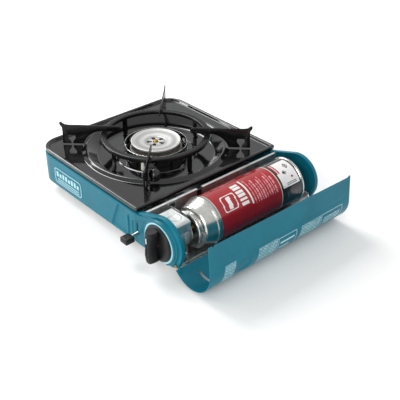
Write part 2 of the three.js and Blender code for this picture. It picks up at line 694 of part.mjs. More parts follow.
function fins() {
  const fin = finSolid();
  Object.entries(finAngles).forEach(([side, degrees]) => {
    const turn = THREE.MathUtils.degToRad(degrees);
    place(`fin_${side}`, fin, blackEnamel, [panCentreX, panCentreY, 0], turn);
  });
}

// ---------------------------------------------------------------- regulator and knob
function regulator() {
  const [front, rear] = [regulatorFront, regulatorRear];
  const body = join(
    bar('y', regulatorRadius, front, rear - 6, [canX, canZ], 24),
    bar('y', regulatorRadius - 4, rear - 7, rear, [canX, canZ], 24),
    bar('y', 8, rear - 1, rear + 2, [canX, canZ]),
    bar('x', 4, canX - regulatorRadius - 5.6, canX - 10, [26, 34], 16));
  const shaftBore = bar('y', shaftRadius + gap, front - 1, front + 6, [canX, canZ]);
  place('regulator_body', cut(body, shaftBore), castAluminium);
  const reach = 20;
  const [y0, y1] = [front - 2, front + 22];
  const cover = cut(
    box(canX - reach, canX + reach, y0, y1, canZ + 14, coverTop),
    box(canX - reach + sheet, canX + reach - sheet, y0 - 1, y1 + 1, canZ, coverTop - sheet));
  place('regulator_cover', cover, galvanised);
  const port = cut(
    bar('y', 10.5, rear + 2.3, rear + 4.3, [canX, canZ], 32),
    bar('y', 4.2, rear, rear + 9, [canX, canZ]));
  place('inlet_port', port, blackPlastic);
  const nozzle = turnedOnCan([[0, rear + 2.3], [3.8, rear + 2.3], [3.8, rear + 4.5], [2.6, rear + 6], [0, rear + 6.4]], 20);
  place('inlet_nozzle', nozzle, brightSteel);
}

// Upright plate behind the regulator, with a foot on the base and a tab that keys the cartridge's notch.
function regulatorBracket() {
  const y0 = regulatorRear + gap;
  const wall = 1.2;
  const disc = bar('y', 15, y0, y0 + wall, [canX, canZ], 32);
  const half = 4;
  const keyZ = canZ + collarRadius + gap;
  const post = box(canX - half, canX + half, y0, y0 + wall, floorTop + gap, keyZ + wall);
  const foot = box(canX - half, canX + half, y0 - 10, y0 + wall, floorTop + gap, floorTop + gap + wall);
  const key = box(canX - half + 1, canX + half - 1, y0, collarFront + 3.6, keyZ, keyZ + wall);
  const neck = bar('y', 8 + gap, y0 - 2, y0 + 4, [canX, canZ]);
  place('regulator_bracket', cut(join(disc, post, foot, key), neck), brightSteel);
}

function knob() {
  const back = -bossRise - 0.5;
  const disc = turnedOnCan([
    [0, back - 3], [knobRadius - 2, back - 3], [knobRadius, back - 1.4], [knobRadius, back], [0, back]], 32);
  const grip = new THREE.Shape();
  const [half, waist, length] = [7.5, 5, 22];
  grip.moveTo(canX - half, canZ - length);
  grip.lineTo(canX + half, canZ - length);
  grip.quadraticCurveTo(canX + waist - 1, canZ, canX + half - 1, canZ + length);
  grip.lineTo(canX - half + 1, canZ + length);
  grip.quadraticCurveTo(canX - waist + 1, canZ, canX - half, canZ - length);
  const handle = plateXZ(grip, knobFront, back - 2, 8);
  const socket = bar('y', shaftRadius + gap, back - 8, back + 3, [canX, canZ]);
  place('knob', cut(join(disc, handle), socket), blackPlastic);
  const shaft = bar('y', shaftRadius, back - 7.5, regulatorFront + 5.5, [canX, canZ]);
  place('valve_shaft', shaft, brass);
  const cam = cut(
    join(bar('y', 9, 4.6, 8.2, [canX, canZ]), box(canX - 3, canX + 3, 4.6, 8.2, canZ, canZ + 13)),
    bar('y', shaftRadius + gap, 0, 12, [canX, canZ]));
  place('ignition_cam', cam, ceramic);
}

// ---------------------------------------------------------------- lock lever and ejector
function lockLever() {
  const { y, z } = leverPivot;
  const x0 = slotX + (slotWidth - leverWall) / 2;
  const tipY = -12;
  const slope = Math.atan2(z - leverMouthZ, y);
  const stripZ = (at) => z - (y - at) * Math.tan(slope);
  const half = leverStripHeight / 2;
  const strip = outline([
    [tipY, stripZ(tipY) - half], [y, z - half - 1], [y, z + half + 1], [tipY, stripZ(tipY) + half]]);
  const arm = outline([[y - 3.5, z], [y + 3.5, z], [y + 2.5, z + 18], [y - 2.5, z + 18]]);
  const hub = bar('x', 6, x0, x0 + leverWall, [y, z], 20);
  const bore = bar('x', 2 + gap, x0 - 1, x0 + 5, [y, z], 16);
  const lever = join(plateYZ(strip, x0, x0 + leverWall), plateYZ(arm, x0, x0 + leverWall), hub);
  place('lock_lever', cut(lever, bore), brightSteel);
  const gripZ = stripZ(-17);
  const middle = x0 + leverWall / 2;
  const pad = outline([
    [-24, gripZ - 4], [-10, gripZ - 4], [-10, gripZ + 4], [-22.5, gripZ + 4], [-24, gripZ + 2.5]]);
  const socket = box(
    x0 - gap, x0 + leverWall + gap, tipY - gap, -9, stripZ(tipY) - half - gap, stripZ(tipY) + half + 1);
  place('lever_grip', cut(plateYZ(pad, middle - 7, middle + 7), socket), blackPlastic);
  const pin = join(
    bar('x', 2, x0 - 2, shieldRight + 2, [y, z], 16), bar('x', 3.5, x0 - 2, x0 - 0.6, [y, z], 16));
  place('lever_pivot_pin', pin, brightSteel);
  place('lever_spring', torsionSpring(x0 + leverWall + 0.4, shieldX - 0.4), brightSteel);
}

// Coil round the lever pin, between the lever and the heat shield.
function torsionSpring(x0, x1) {
  const wire = 0.35;
  const coil = 3.2;
  const turns = 2;
  const tail = 8;
  const points = [];
  points.push([x0 + wire, leverPivot.y - tail, leverPivot.z - coil]);
  const steps = 10 * turns;
  for (let i = 0; i <= steps; i += 1) {
    const angle = (2 * Math.PI * turns * i) / steps - Math.PI / 2;
    const along = x0 + wire + ((x1 - x0 - 2 * wire) * i) / steps;
    points.push([along, leverPivot.y + coil * Math.cos(angle), leverPivot.z + coil * Math.sin(angle)]);
  }
  points.push([x1 - wire, leverPivot.y + tail, leverPivot.z - coil]);
  return rod(points, wire, 34, 4);
}

// Fork that hooks behind the cartridge collar and is pushed back by the lever.
function ejectorFork() {
  const y0 = collarFront + 5.3;
  const wall = 1.5;
  const neck = collarRadius - 3.5 + 0.5;
  const shape = new THREE.Shape();
  const outer = collarRadius + 4;
  shape.absarc(canX, canZ, outer, Math.PI, 2 * Math.PI, false);
  shape.lineTo(canX + outer, canZ + 4);
  shape.lineTo(canX + neck, canZ + 4);
  shape.absarc(canX, canZ, neck, 0, Math.PI, true);
  shape.lineTo(canX - neck, canZ + 4);
  shape.lineTo(canX - outer, canZ + 4);
  const armZ = leverPivot.z + 15;
  const fork = plateXZ(shape, y0, y0 + wall, 14);
  const riser = box(canX - outer, canX - outer + 6, y0, y0 + wall, canZ, armZ + 3);
  const arm = box(shieldX - 2.6, canX - outer + 4, y0, y0 + wall, armZ - 1, armZ + 3);
  place('ejector_fork', join(fork, riser, arm), galvanised);
}

// ---------------------------------------------------------------- cartridge
function cartridge() {
  const wall = 0.8;
  const body = canRadius - 1.15;
  const [front, rear] = [canFrontSeam, rearSeam];
  const seam = 3;
  const shell = turnedOnCan([
    [0, rear - 6], [body - 8, rear - 4.5], [body - 2.2, rear - 2.5], [body - 2.2, rear - 0.6], [canRadius, rear],
    [canRadius, rear - seam], [body, rear - seam - 0.8], [body, front + seam + 0.6],
    [body - wall, front + seam + 0.6], [body - wall, rear - 8], [0, rear - 7.2]].reverse(), 28);
  place('cartridge_can', shell, redPrint);
  const neck = collarRadius - 3.5;
  const shoulder = collarFront + 8;
  const dome = turnedOnCan(closedRing([
    [neck, collarFront + 4], [neck, shoulder], [collarRadius + 2, shoulder], [collarRadius + 4.5, shoulder + 3],
    [body - 1.5, front - 7], [body - 0.5, front - 1.5], [canRadius, front - 1.2], [canRadius, front + seam],
    [body - 2, front + seam], [body - 2, front - 2], [body - 3.5, front - 7], [collarRadius + 2, shoulder + 3.5],
    [neck - wall, shoulder + 1.2], [neck - wall, collarFront + 4]]), 28);
  place('cartridge_dome', dome, brightSteel);
  const cup = 15.5;
  const collar = turnedOnCan(closedRing([
    [collarRadius - 1.5, collarFront], [collarRadius, collarFront + 1], [collarRadius, collarFront + 3.2],
    [collarRadius - 1, collarFront + 3.7], [cup, collarFront + 3.7], [cup, collarFront + 8.5],
    [valveStemRadius + gap, collarFront + 8.5], [valveStemRadius + gap, collarFront + 7.5],
    [cup - 1, collarFront + 7.5], [cup - 1, collarFront + 0.8], [collarRadius - 4, collarFront + 0.8],
    [collarRadius - 3.5, collarFront]]), 24);
  const notch = box(canX - 4, canX + 4, collarFront - 2, collarFront + 5, canZ + collarRadius - 2.5, canZ + 40);
  place('cartridge_collar', cut(collar, notch), brightSteel);
  const stem = turnedOnCan([
    [0, collarFront + 2.2], [valveStemRadius, collarFront + 2.2], [valveStemRadius, collarFront + 12],
    [0, collarFront + 12]], 16);
  place('cartridge_stem', stem, brass);
}

// ---------------------------------------------------------------- lid
// The lid is drawn closed and swung open about its pins.
function lid() {
  const [y0, y1] = [0.5, caseDepth - 0.5];
  const sheetFoot = hingeZ + 2;
  const shell = cut(
    plateXZ(archShape(lidOuter, sheetFoot, lidTipX), y0, y1),
    plateXZ(archShape(lidInner, sheetFoot - 5, lidTipX - 5), y0 - 1, y1 + 1));
  const roof = archRoofZ(lidTipX, lidInner);
  const rearRoof = archRoofZ(lidTipRearX, lidInner);
  const slant = slab(outline([
    [lidTipX - 20, y0 - 5], [lidTipX, y0], [lidTipRearX, y1], [lidTipRearX, y1 + 5], [lidTipX - 20, y1 + 5]]),
  roof - 20, roof + 20);
  const notch = box(lidTipX - 5, lidTipX + 3, y0 + 6, y0 + 9.5, roof - 5, roof + 8);
  const slotZ = archZ + 6;
  const slot = box(archX + lidInner - 6, archX + lidOuter + 6, 26, 30, slotZ, slotZ + 12);
  const tab = box(lidTipRearX - 2.5, lidTipRearX + 1, y1 - 5, y1 - 1, rearRoof + 0.15, rearRoof + 0.85);
  const ears = [[4.6, 5.6], [caseDepth - 5.6, caseDepth - 4.6]].map(([from, to]) => join(
    bar('y', 3, from, to, [hingeX, hingeZ], 16),
    plateXZ(outline([
      [hingeX - 1, hingeZ + 2], [hingeX + 1, hingeZ - 3],
      [archSideX(sheetFoot, lidInner) + 0.3, sheetFoot],
      [archSideX(sheetFoot + 8, lidInner) + 0.3, sheetFoot + 8]]), from, to)));
  const pinHoles = bar('y', hingePinRadius + gap, -5, caseDepth + 5, [hingeX, hingeZ], 12);
  const closed = cut(join(cut(shell, slant), tab, ...ears), notch, slot, pinHoles);
  const geometry = geometryOf(closed).translate(-hingeX, 0, -hingeZ);
  const mesh = new THREE.Mesh(geometry, new THREE.MeshStandardMaterial(tealPaint));
  mesh.name = 'lid';
  mesh.position.set(hingeX, 0, hingeZ);
  mesh.rotation.y = lidOpenAngle;
  stove.add(mesh);
}

function hingePins() {
  const profile = [[0, 0], [2.2, 0], [2.2, 1.2], [hingePinRadius, 1.5], [hingePinRadius, 5.4], [0, 5.4]];
  const points = profile.map(([r, h]) => new THREE.Vector2(r, h));
  ['front', 'rear'].forEach((end) => {
    const geometry = new THREE.LatheGeometry(points, 12);
    if (end === 'rear') geometry.rotateX(Math.PI);
    const y = end === 'front' ? 1.2 : caseDepth - 1.2;
    place(`hinge_pin_${end}`, solid(geometry), brass, [hingeX, y, hingeZ]);
  });
}

outerCase();
basePan();
feetAndScrews();
heatShield();
panClip();
dripPan();
burnerBase();
burnerHead();
windCollar();
burnerStrap();
mixingTube();
gasPipe();
ignition();
potSupportRing();
fins();
regulator();
regulatorBracket();
knob();
lockLever();
ejectorFork();
cartridge();
lid();
hingePins();

// Origin at the middle of the footprint, on the ground.
stove.updateMatrixWorld(true);
const extent = new THREE.Box3().setFromObject(stove, true);
stove.position.set(-(extent.min.x + extent.max.x) / 2, -(extent.min.y + extent.max.y) / 2, -extent.min.z);

export default stove;
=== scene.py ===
"""Portable camping stove: detailed pieces and finishes round its fixed frame."""
import math

import bpy
from bpy.props import FloatProperty, FloatVectorProperty, PointerProperty
from mathutils import Matrix, Vector


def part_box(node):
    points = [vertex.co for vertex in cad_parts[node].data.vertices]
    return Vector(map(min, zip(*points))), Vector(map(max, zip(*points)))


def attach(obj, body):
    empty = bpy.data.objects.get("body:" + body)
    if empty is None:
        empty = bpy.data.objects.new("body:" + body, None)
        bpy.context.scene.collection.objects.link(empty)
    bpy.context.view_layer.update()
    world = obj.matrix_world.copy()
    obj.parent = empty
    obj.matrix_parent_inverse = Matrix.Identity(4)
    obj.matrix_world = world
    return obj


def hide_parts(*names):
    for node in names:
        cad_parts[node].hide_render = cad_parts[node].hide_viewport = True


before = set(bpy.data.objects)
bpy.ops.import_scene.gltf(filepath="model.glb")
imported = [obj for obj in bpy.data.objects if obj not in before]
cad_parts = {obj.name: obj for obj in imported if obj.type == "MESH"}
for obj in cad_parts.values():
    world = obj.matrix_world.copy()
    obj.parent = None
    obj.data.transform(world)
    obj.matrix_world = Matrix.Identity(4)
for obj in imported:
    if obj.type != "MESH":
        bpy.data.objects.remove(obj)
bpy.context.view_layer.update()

bl_info = {
    "name": "Camping stove",
    "version": (1, 0, 0),
    "blender": (4, 5, 0),
    "location": "View3D > Sidebar > Stove",
    "description": "Models the pieces, finishes and stage of a portable gas stove",
    "category": "Object",
}

MM = 0.001
PAN_LOW, PAN_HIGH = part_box("drip_pan")
EDGE_X = PAN_HIGH.x + 0.5 * MM
FRONT_Y = PAN_LOW.y - 1.0 * MM

# Sizes below are in millimetres. x = 0 is the drip pan's right edge, y = 0 the case's front face.
CASE_LEFT, CASE_DEPTH, CASE_BOTTOM, CASE_TOP = -239.0, 257.0, 17.0, 61.0
CORNER = 30.0
PAN_CENTRE = (-119.25, 128.5)
BURNER_AXIS = (*PAN_CENTRE, 0)
PAN_TOP, PAN_FIELD, PAN_BORDER = 69.0, 65.5, 5.0
DISH_FLOOR, DISH_RADIUS = 55.0, 104.0
BUTTON_RADIUS, BUTTON_REACH, BUTTON_ANGLE = 8.5, 97.5, 320.0
ELECTRODE_REACH, ELECTRODE_ANGLE = 52.0, 300.0
CAN_X, CAN_Z, CAN_RADIUS = 48.0, 42.5, 34.15
CAN_FRONT, CAN_REAR, COLLAR_FRONT = 72.0, 230.5, 45.0
ARCH_X, ARCH_Z, ARCH_RADIUS = 52.0, 43.5, 34.4
ARCH_STEP = 5.0
ARCH_SLOPE, ARCH_FOOT = math.radians(18), math.radians(-25)
LID_OUTER, LID_WALL, LID_TIP, LID_TIP_REAR = 35.4, 0.6, 1.5, 6.0
LID_OPEN = math.radians(104)
HINGE_Z = 20.0
BOSS_RADIUS, BOSS_RISE = 31.0, 2.5
SHIELD_X = 5.5
SKIRT_INSET = 3.0
RING_TOP, RING_OUTER, RING_INNER = 88.0, 80.0, 71.0
FIN_TOP, FIN_OUTER, FIN_WALL = 97.5, 138.0, 1.5
BURNER_RADIUS, BURNER_TOP, WIND_RADIUS = 36.5, 77.0, 46.5
SHEET = 1.0
LEVER_SLOT = (0.6, 3.1, 29.3, 50.0)
PIN_HOLE = 1.6
# Right of this x the band lies this far behind the arch ends, so that the sheets don't coincide.
ARCH_END_X, TUCK = -0.9, 0.35
# The front panel's pressed lines: a slanting fold, a rib and a groove, and the raised badge.
FOLD_X, FOLD_Z, FOLD_LEAN = -39.0, 60.0, 16.0 / 37.0
RIB_X, GROOVE_X = -20.0, -8.0
BADGE, BADGE_CORNER = (-196.0, -126.0, 23.0, 50.0), 6.0


def at(x, y, z):
    """Millimetres of the drawing to metres of the frame."""
    return Vector((EDGE_X + x * MM, FRONT_Y + y * MM, z * MM))


def shift(x, y, z):
    """A step in millimetres as one in metres."""
    return Vector((x, y, z)) * MM


def drawn(place):
    """A place of the frame back in the drawing's millimetres."""
    return (place - Vector((EDGE_X, FRONT_Y, 0))) / MM


def drawn_box(node):
    """A node's lowest and highest corners in the drawing's millimetres."""
    low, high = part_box(node)
    return drawn(low), drawn(high)


def from_pan_centre(reach, degrees):
    """(x, y) at a distance and an angle from the burner's axis."""
    angle = math.radians(degrees)
    return PAN_CENTRE[0] + reach * math.cos(angle), PAN_CENTRE[1] + reach * math.sin(angle)


def bend(start, corner, end, t):
    """The point t of the way along the curve that leaves start and reaches end towards corner."""
    return start * (1 - t) ** 2 + corner * 2 * t * (1 - t) + end * t ** 2


def smooth(value, low, high):
    """0 below low, 1 above high, and an even curve between."""
    t = min(max((value - low) / (high - low), 0.0), 1.0)
    return t * t * (3.0 - 2.0 * t)


def ridge(value, middle, flat, foot):
    """1 on a ridge's flat middle, 0 beyond its foot."""
    return 1.0 - smooth(abs(value - middle), flat, foot)


def span(value, low, full, fading, high):
    """1 between full and fading, 0 outside low and high."""
    return smooth(value, low, full) * (1.0 - smooth(value, fading, high))


def linear(code):
    """sRGB hex to linear red, green and blue."""
    def channel(text):
        c = int(text, 16) / 255.0
        return c / 12.92 if c <= 0.04045 else ((c + 0.055) / 1.055) ** 2.4
    return tuple(channel(code[i:i + 2]) for i in (1, 3, 5))


# ---------------------------------------------------------------- mesh tools
def deselect():
    """Leaves edit mode and clears the selection."""
    if bpy.context.object and bpy.context.object.mode != "OBJECT":
        bpy.ops.object.mode_set(mode="OBJECT")
    bpy.ops.object.select_all(action="DESELECT")


def named(name):
    """The object just made, named with its mesh."""
    piece = bpy.context.object
    piece.name = name
    piece.data.name = name
    return piece


def choose(piece):
    """Makes a piece the only one selected, and active."""
    deselect()
    piece.select_set(True)
    bpy.context.view_layer.objects.active = piece


def edit(piece):
    """Opens a piece in edit mode with everything selected."""
    choose(piece)
    bpy.ops.object.mode_set(mode="EDIT")
    bpy.ops.mesh.select_all(action="SELECT")


def leave():
    """Back to object mode."""
    bpy.ops.object.mode_set(mode="OBJECT")


def loop_of(name, points):
    """A closed loop of edges through the points."""
    deselect()
    bpy.ops.mesh.primitive_circle_add(vertices=len(points), radius=MM)
    piece = named(name)
    for vertex, point in zip(piece.data.vertices, points):
        vertex.co = point
    return piece


def plate(name, points, push):
    """Flat outline, filled and extruded to a solid plate."""
    piece = loop_of(name, points)
    edit(piece)
    bpy.ops.mesh.edge_face_add()
    bpy.ops.mesh.extrude_region_move(TRANSFORM_OT_translate={"value": push})
    bpy.ops.mesh.select_all(action="SELECT")
    bpy.ops.mesh.normals_make_consistent(inside=False)
    leave()
    return piece


def turned(name, profile, centre, axis="Z", steps=96):
    """Closed profile of (radius, height) spun into a solid about an axis."""
    x, y, z = centre
    if axis == "Z":
        points, spin_axis = [at(x + r, y, z + h) for r, h in profile], (0, 0, 1)
    else:
        points, spin_axis = [at(x + r, y + h, z) for r, h in profile], (0, 1, 0)
    piece = loop_of(name, points)
    edit(piece)
    bpy.ops.mesh.spin(steps=steps, angle=2 * math.pi, center=at(x, y, z), axis=spin_axis)
    bpy.ops.mesh.select_all(action="SELECT")
    bpy.ops.mesh.remove_doubles(threshold=2e-6)
    bpy.ops.mesh.delete_loose()
    bpy.ops.mesh.select_all(action="SELECT")
    bpy.ops.mesh.normals_make_consistent(inside=False)
    leave()
    return piece


def on_can(name, profile, steps=96):
    """Closed profile of (radius, y) spun about the cartridge's axis."""
    return turned(name, profile, (CAN_X, 0, CAN_Z), "Y", steps)


def levelled(piece, z):
    """Cuts away what lies below a height."""
    edit(piece)
    bpy.ops.mesh.bisect(plane_co=at(0, 0, z), plane_no=(0, 0, 1), use_fill=True, clear_inner=True)
    leave()
    return piece


def surface(name, across, along, place):
    """A grid of faces whose corners sit where place(i, j) says."""
    deselect()
    bpy.ops.mesh.primitive_grid_add(x_subdivisions=across - 1, y_subdivisions=along - 1, size=1)
    piece = named(name)
    for vertex in piece.data.vertices:
        i = round((vertex.co.x + 0.5) * (across - 1))
        j = round((vertex.co.y + 0.5) * (along - 1))
        vertex.co = place(i, j)
    edit(piece)
    bpy.ops.mesh.remove_doubles(threshold=2e-6)
    leave()
    return piece


def modify(piece, kind, **settings):
    """Adds a modifier and applies it."""
    choose(piece)
    modifier = piece.modifiers.new(kind.title(), kind)
    for key, value in settings.items():
        setattr(modifier, key, value)
    bpy.ops.object.modifier_apply(modifier=modifier.name)
    return piece


def rounded(piece, width, segments=2, angle=40):
    """Bevels the edges that turn by more than an angle."""
    return modify(piece, "BEVEL", width=width * MM, segments=segments, limit_method="ANGLE",
                  angle_limit=math.radians(angle), use_clamp_overlap=True)


def walled(piece, wall, even=True):
    """Gives a thin surface its sheet thickness, behind the face side."""
    return modify(piece, "SOLIDIFY", thickness=wall * MM, offset=-1.0, use_even_offset=even)


def cut_with(piece, *tools):
    """Takes the tools away from a piece, and removes them."""
    for tool in tools:
        modify(piece, "BOOLEAN", operation="DIFFERENCE", object=tool, solver="EXACT")
        bpy.data.objects.remove(tool)
    return piece


def joined(name, *pieces):
    """One object out of several."""
    deselect()
    for piece in pieces:
        piece.select_set(True)
    bpy.context.view_layer.objects.active = pieces[0]
    if len(pieces) > 1:
        bpy.ops.object.join()
    return named(name)


def shaded(piece, angle=35):
    """Shades smooth, but for edges that turn by more than an angle."""
    choose(piece)
    bpy.ops.object.shade_smooth_by_angle(angle=math.radians(angle))
    return piece


def block(name, x0, x1, y0, y1, z0, z1, edge=0.0, segments=3):
    """Box of the drawing with rounded edges."""
    deselect()
    centre = at((x0 + x1) / 2, (y0 + y1) / 2, (z0 + z1) / 2)
    bpy.ops.mesh.primitive_cube_add(size=1, location=centre)
    piece = named(name)
    piece.scale = shift(x1 - x0, y1 - y0, z1 - z0)
    bpy.ops.object.transform_apply(location=True, rotation=True, scale=True)
    return rounded(piece, edge, segments) if edge else piece


def drum(name, radius, start, end, centre, axis="Z", sides=48):
    """Plain round cutter or bar between two places along an axis."""
    x, y = centre
    middle = (start + end) / 2
    turn = {"X": (0, math.pi / 2, 0), "Y": (math.pi / 2, 0, 0), "Z": (0, 0, 0)}[axis]
    where = {"X": at(middle, x, y), "Y": at(x, middle, y), "Z": at(x, y, middle)}[axis]
    deselect()
    bpy.ops.mesh.primitive_cylinder_add(
        vertices=sides, radius=radius * MM, depth=(end - start) * MM, location=where, rotation=turn)
    bpy.ops.object.transform_apply(location=True, rotation=True, scale=True)
    return named(name)


def turned_copy(piece, name, degrees, centre):
    """A copy with its own mesh, turned about an upright axis."""
    deselect()
    copy = own_copy(piece, name)
    middle = at(*centre, 0)
    spin = Matrix.Translation(middle) @ Matrix.Rotation(math.radians(degrees), 4, "Z")
    copy.data.transform(spin @ Matrix.Translation(-middle))
    return copy


def fillet(points, radius, steps=4):
    """Rounds the inner corners of an open chain of 2-D points."""
    rounded_chain = [points[0]]
    for before, corner, after in zip(points, points[1:], points[2:]):
        a, b = Vector(before) - Vector(corner), Vector(after) - Vector(corner)
        reach = min(radius, a.length * 0.49, b.length * 0.49)
        middle = Vector(corner)
        start, end = middle + a.normalized() * reach, middle + b.normalized() * reach
        rounded_chain += [tuple(bend(start, middle, end, k / steps)) for k in range(steps + 1)]
    rounded_chain.append(points[-1])
    return rounded_chain


def filleted_ring(points, radius, steps=4):
    """Rounds every corner of a closed chain of 2-D points."""
    return fillet([points[-1], *points, points[0]], radius, steps)[1:-1]


def own_copy(source, name):
    """A copy of an object with a mesh of its own."""
    copy = source.copy()
    copy.data = source.data.copy()
    bpy.context.collection.objects.link(copy)
    copy.name = name
    copy.data.name = name
    return copy


def from_node(node, edge=0.25, segments=1):
    """A merged copy of a frame node with softened edges."""
    deselect()
    copy = own_copy(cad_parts[node], node + "_detail")
    copy.parent = None
    copy.hide_render = False
    copy.hide_set(False)
    edit(copy)
    bpy.ops.mesh.remove_doubles(threshold=1e-6)
    bpy.ops.mesh.dissolve_limited(angle_limit=math.radians(1))
    leave()
    rounded(copy, edge, segments, 35)
    return shaded(copy, 30)


# ---------------------------------------------------------------- finishes
# Texture scales count per metre of the object. The wave texture goes through 20 radians in a
# unit, so at this scale its rings come 2 pi times ring_mm apart.
METRE, WAVE_SCALE = 1000.0, 50.0


def link(node, links):
    """Joins {input: (source node, output)} to a node."""
    for key, (source, output) in links.items():
        node.id_data.links.new(source.outputs[output], node.inputs[key])


def add(material, kind, settings=None, links=None):
    """Adds a node with its settings and links; "stops" are a ramp's (position, sRGB hex)."""
    node = material.node_tree.nodes.new(kind)
    for key, value in (settings or {}).items():
        if key == "stops":
            for stop, (position, code) in zip(node.color_ramp.elements, value):
                stop.position, stop.color = position, (*linear(code), 1)
        elif key in node.inputs:
            node.inputs[key].default_value = value
        else:
            setattr(node, key, value)
    link(node, links or {})
    return node


def blank(name, shader):
    """New material with its shader's own sockets set."""
    material = bpy.data.materials.new(name)
    material.use_nodes = True
    principled = material.node_tree.nodes["Principled BSDF"]
    for key, value in shader.items():
        principled.inputs[key].default_value = value
    return material, principled


def dress(material, principled, tint, gloss, stops, roughness, relief=None, bump_mm=0.0):
    """Lets patterns, each a (node, output), drive the colour, the gloss and the relief."""
    colours = add(material, "ShaderNodeValToRGB", {"stops": stops}, {"Fac": tint})
    shine = add(material, "ShaderNodeMapRange", {"To Min": roughness[0], "To Max": roughness[1]},
                {"Value": gloss})
    link(principled, {"Base Color": (colours, "Color"), "Roughness": (shine, "Result")})
    if relief:
        bump = add(material, "ShaderNodeBump", {"Strength": 1.0, "Distance": bump_mm * MM},
                   {"Height": relief})
        link(principled, {"Normal": (bump, "Normal")})
    return material


def mottled(name, light, dark, patch_mm, roughness, bump_mm, bump_patch_mm, shader):
    """A coat or casting: two close colours in patches, uneven gloss and a fine relief."""
    material, principled = blank(name, shader)
    place = (add(material, "ShaderNodeTexCoord"), "Object")
    patches = add(material, "ShaderNodeTexNoise",
                  {"Scale": METRE / patch_mm, "Detail": 5.0, "Roughness": 0.6}, {"Vector": place})
    grain = add(material, "ShaderNodeTexNoise",
                {"Scale": METRE / bump_patch_mm, "Detail": 3.0}, {"Vector": place})
    return dress(material, principled, (patches, "Fac"), (patches, "Fac"),
                 ((0.35, dark), (0.65, light)), roughness, (grain, "Fac"), bump_mm)


def spun(name, light, dark, ring_mm, roughness, bump_mm, shader):
    """Sheet spun on a lathe about the burner's axis: fine rings in colour, gloss and relief."""
    material, principled = blank(name, shader)
    place = (add(material, "ShaderNodeTexCoord"), "Object")
    middle = add(material, "ShaderNodeMapping",
                 {"vector_type": "POINT", "Location": -at(*PAN_CENTRE, 0)}, {"Vector": place})
    rings = (add(material, "ShaderNodeTexWave",
                 {"wave_type": "RINGS", "rings_direction": "Z", "Scale": WAVE_SCALE / ring_mm,
                  "Distortion": 1.2, "Detail": 3.0, "Detail Scale": 2.0},
                 {"Vector": (middle, "Vector")}), "Fac")
    return dress(material, principled, rings, rings,
                 ((0, dark), (1, light)), roughness, rings, bump_mm)


def spangled(name, light, dark, spangle_mm, cloud_mm, roughness, shader):
    """Zinc crystals in dull and bright grey, with gloss in slow clouds."""
    material, principled = blank(name, shader)
    place = (add(material, "ShaderNodeTexCoord"), "Object")
    spangle = add(material, "ShaderNodeTexVoronoi", {"Scale": METRE / spangle_mm, "feature": "F1"},
                  {"Vector": place})
    cloud = add(material, "ShaderNodeTexNoise", {"Scale": METRE / cloud_mm, "Detail": 4.0},
                {"Vector": place})
    return dress(material, principled, (spangle, "Color"), (cloud, "Fac"),
                 ((0, dark), (1, light)), roughness)


def dashed(name, mark, faint, ground, brick_mm, shader):
    """Rows of short marks on a ground, laid on the sheet's length and height."""
    material, principled = blank(name, shader)
    place = (add(material, "ShaderNodeTexCoord"), "Object")
    parts = add(material, "ShaderNodeSeparateXYZ", None, {"Vector": place})
    face = add(material, "ShaderNodeCombineXYZ", None, {"X": (parts, "Y"), "Y": (parts, "Z")})
    rows = add(material, "ShaderNodeTexBrick",
               {"Scale": METRE / brick_mm, "Mortar Size": 0.12, "Brick Width": 1.3,
                "Row Height": 0.62, "Color1": (*linear(mark), 1), "Color2": (*linear(faint), 1),
                "Mortar": (*linear(ground), 1)}, {"Vector": (face, "Vector")})
    link(principled, {"Base Color": (rows, "Color")})
    return material


BARE_METAL = {"Metallic": 1.0}
# Lacquer printed on tinplate: saturated and glossy, the metal just showing through as sheen.
LACQUER = (30, (0.16, 0.22), 0.01, 6,
           {"Metallic": 0.25, "Coat Weight": 0.6, "Coat Roughness": 0.06})

